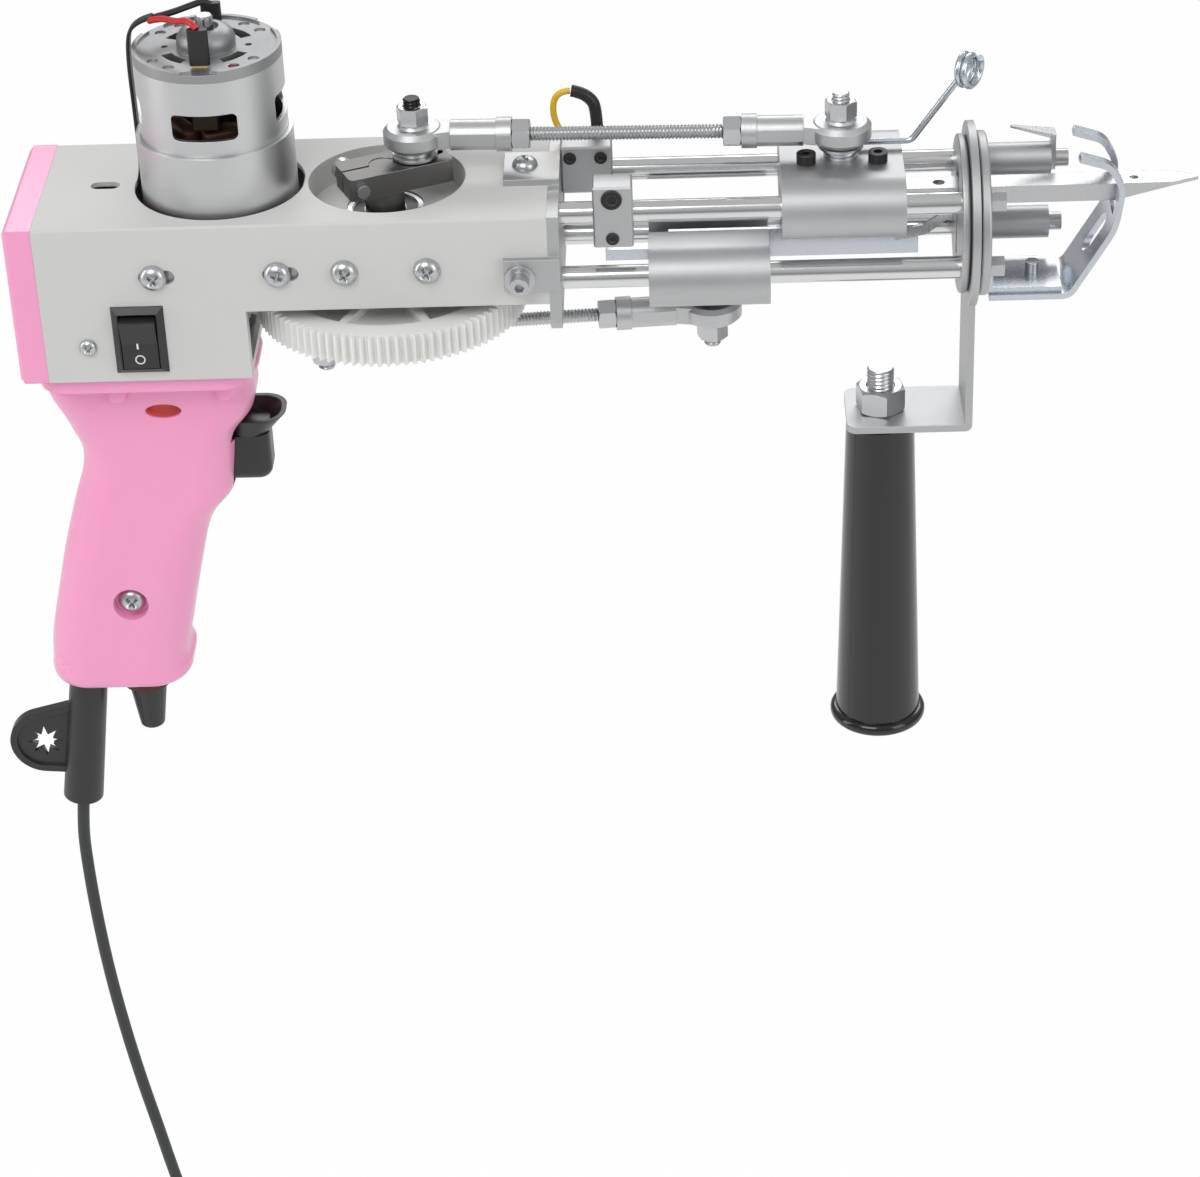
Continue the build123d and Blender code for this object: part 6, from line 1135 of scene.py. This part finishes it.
class AddRotor(bpy.types.Operator):
    """Adds the rotor's poles, windings, commutator and shaft."""
    bl_idname = "machine.add_rotor"
    bl_label = "Rotor"

    def execute(self, context):
        tree, names = around_tree()
        axis = Matrix.Translation(at(MOTOR_X, 0, 0))
        core = prism(rotor_outline(), ROTOR_LOW, ROTOR_HIGH)
        core = joined("rotor_core", [(core, axis)], "core_steel")
        smooth_by_angle(core)
        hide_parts("motor_armature")
        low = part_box("motor_armature")[0].z / MM + PALM.z
        profile = ((0, low), (SHAFT_R, low), (SHAFT_R, SHAFT_TOP - SHAFT_CHAMFER),
                   (SHAFT_R - SHAFT_CHAMFER, SHAFT_TOP), (0, SHAFT_TOP))
        shaft = turned([(radius * MM, height * MM) for radius, height in profile])
        spindle = joined("rotor_shaft", [(shaft, axis)], "bearing_steel")
        smooth_by_angle(spindle)
        coil = self.winding()
        coils = self.spread("rotor_windings", coil, POLES, "enamelled_copper", tree, names)
        corners = ((BAR_INNER_R, -BAR_HALF_SPAN), (COMMUTATOR_R, -BAR_HALF_SPAN), (COMMUTATOR_R, 0),
                   (COMMUTATOR_R, BAR_HALF_SPAN), (BAR_INNER_R, BAR_HALF_SPAN))
        bar = prism([polar(*corner) for corner in corners], COMMUTATOR_LOW, COMMUTATOR_TOP)
        bars = self.spread("commutator", named_mesh("bar", bar, "polished_copper"), BARS,
                           "polished_copper", tree, names)
        for piece in (core, spindle, coils, bars):
            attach(piece, "armature")
        return {"FINISHED"}

    def winding(self):
        shape = bmesh.new()
        bmesh.ops.create_cube(shape, size=1.0)
        reach = ROTOR_R - SHOE - ROTOR_HUB - WINDING_GAP
        height = ROTOR_HIGH - ROTOR_LOW + 2 * WINDING_RISE
        size = Matrix.Diagonal((reach * MM, 2 * WINDING_HALF * MM, height * MM, 1.0))
        middle = Vector((ROTOR_HUB + reach / 2, 0, (ROTOR_HIGH + ROTOR_LOW) / 2)) * MM
        bmesh.ops.transform(shape, matrix=Matrix.Translation(middle) @ size, verts=shape.verts)
        bmesh.ops.bevel(shape, geom=shape.edges[:], offset=WINDING_CORNER * MM, segments=4,
                        profile=0.5, affect="EDGES")
        return named_mesh("winding", shape, "enamelled_copper")

    def spread(self, name, part, count, finish, tree, names):
        piece = grown_piece(name, point_source(name + "_source"), tree, names, {
            "Part": part, "Count": count, "Material": SURFACES[finish]})
        bpy.data.objects.remove(part)
        piece.data.transform(Matrix.Translation(at(MOTOR_X, 0, 0)))
        smooth_by_angle(piece)
        return piece


# Printed marks and a painted dot

STROKE_PLACE, STROKE_SIZE = (26.9, -36.1), (0.55, 1.9)
RING_PLACE, RING_R, RING_WIDTH = (27.3, -40.4), 1.5, 0.42
DOT_ANGLE, DOT_CIRCLE, DOT_R = 302, 17.2, 1.55
RING_SIDES, DOT_SIDES, MARK_HALF = 36, 24, 0.03
CAST_FROM_Y, CAST_FROM_Z = -45.0, 60.0  # clear of the switch, and of the motor


def printed(name, node, flat_rings, way, finish, body):
    """A thin mark on a node's face. Its points, in metres off the face, are cast along a way."""
    shape = bmesh.new()
    way = Vector(way)
    for corners in flat_rings:
        outer = []
        for corner in corners:
            hit, place, _, _ = NODES[node].ray_cast(Vector(corner), way)
            if not hit:
                raise RuntimeError(f"{name} misses {node}")
            outer.append(place)
        near = [shape.verts.new(place - way * MARK_HALF * MM) for place in outer]
        far = [shape.verts.new(place + way * MARK_HALF * MM) for place in outer]
        shape.faces.new(near)
        shape.faces.new(far)
        bridge(shape, near, far)
    bmesh.ops.remove_doubles(shape, verts=shape.verts, dist=1e-8)
    piece = named_mesh(name, shape, finish)
    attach(piece, body)


class AddMarks(bpy.types.Operator):
    """Adds the switch's on and off marks and the motor's painted dot."""
    bl_idname = "machine.add_marks"
    bl_label = "Marks"

    def execute(self, context):
        x, z = STROKE_PLACE
        w, h = STROKE_SIZE[0] / 2, STROKE_SIZE[1] / 2
        stroke = [at(x + sx * w, CAST_FROM_Y, z + sz * h)
                  for sx, sz in ((-1, -1), (1, -1), (1, 1), (-1, 1))]
        x, z = RING_PLACE
        inner, ring = RING_R - RING_WIDTH, []
        for i in range(RING_SIDES):
            corners = []
            for step, radius in ((0, inner), (1, inner), (1, RING_R), (0, RING_R)):
                a, b = polar(radius, (i + step) * 360 / RING_SIDES)
                corners.append(at(x + a, CAST_FROM_Y, z + b))
            ring.append(corners)
        printed("switch_marks", "switch_rocker", [stroke, *ring], (0, 1, 0), "white_print",
                "rocker")
        a, b = polar(DOT_CIRCLE, DOT_ANGLE)
        disc = []
        for i in range(DOT_SIDES):
            u, v = polar(DOT_R, i * 360 / DOT_SIDES)
            disc.append(at(MOTOR_X + a + u, b + v, CAST_FROM_Z))
        printed("motor_dot", "motor_end_cap", [disc], (0, 0, -1), "red_print",
                "frame")
        return {"FINISHED"}


class MachinePanel(bpy.types.Panel):
    """Lists the steps that dress the machine."""
    bl_idname = "VIEW3D_PT_tufting_machine"
    bl_label = "Tufting machine"
    bl_space_type = "VIEW_3D"
    bl_region_type = "UI"
    bl_category = "Tufting machine"

    def draw(self, context):
        for group in (context.scene.machine_sizes, context.scene.machine_colours):
            for name in group.__annotations__:
                self.layout.prop(group, name)
        for step in STEPS:
            self.layout.operator(step.bl_idname)


STEPS = (PlaceCamera, AddCord, SetStage, DressNodes, AddRodHardware, AddHandleStud, AddLeads,
         AddScrews, AddRotor, AddMarks)
CLASSES = (MachineSizes, MachineColours, *STEPS, MachinePanel)


def register():
    for kind in CLASSES:
        bpy.utils.register_class(kind)
    bpy.types.Scene.machine_sizes = bpy.props.PointerProperty(type=MachineSizes)
    bpy.types.Scene.machine_colours = bpy.props.PointerProperty(type=MachineColours)


def unregister():
    del bpy.types.Scene.machine_colours
    del bpy.types.Scene.machine_sizes
    for kind in reversed(CLASSES):
        bpy.utils.unregister_class(kind)


def main():
    register()
    make_surfaces(bpy.context.scene.machine_colours)
    for step in STEPS:
        group, name = step.bl_idname.split(".")
        getattr(getattr(bpy.ops, group), name)()
    bpy.data.objects.remove(THREAD["source"])


if __name__ == "__main__":
    main()
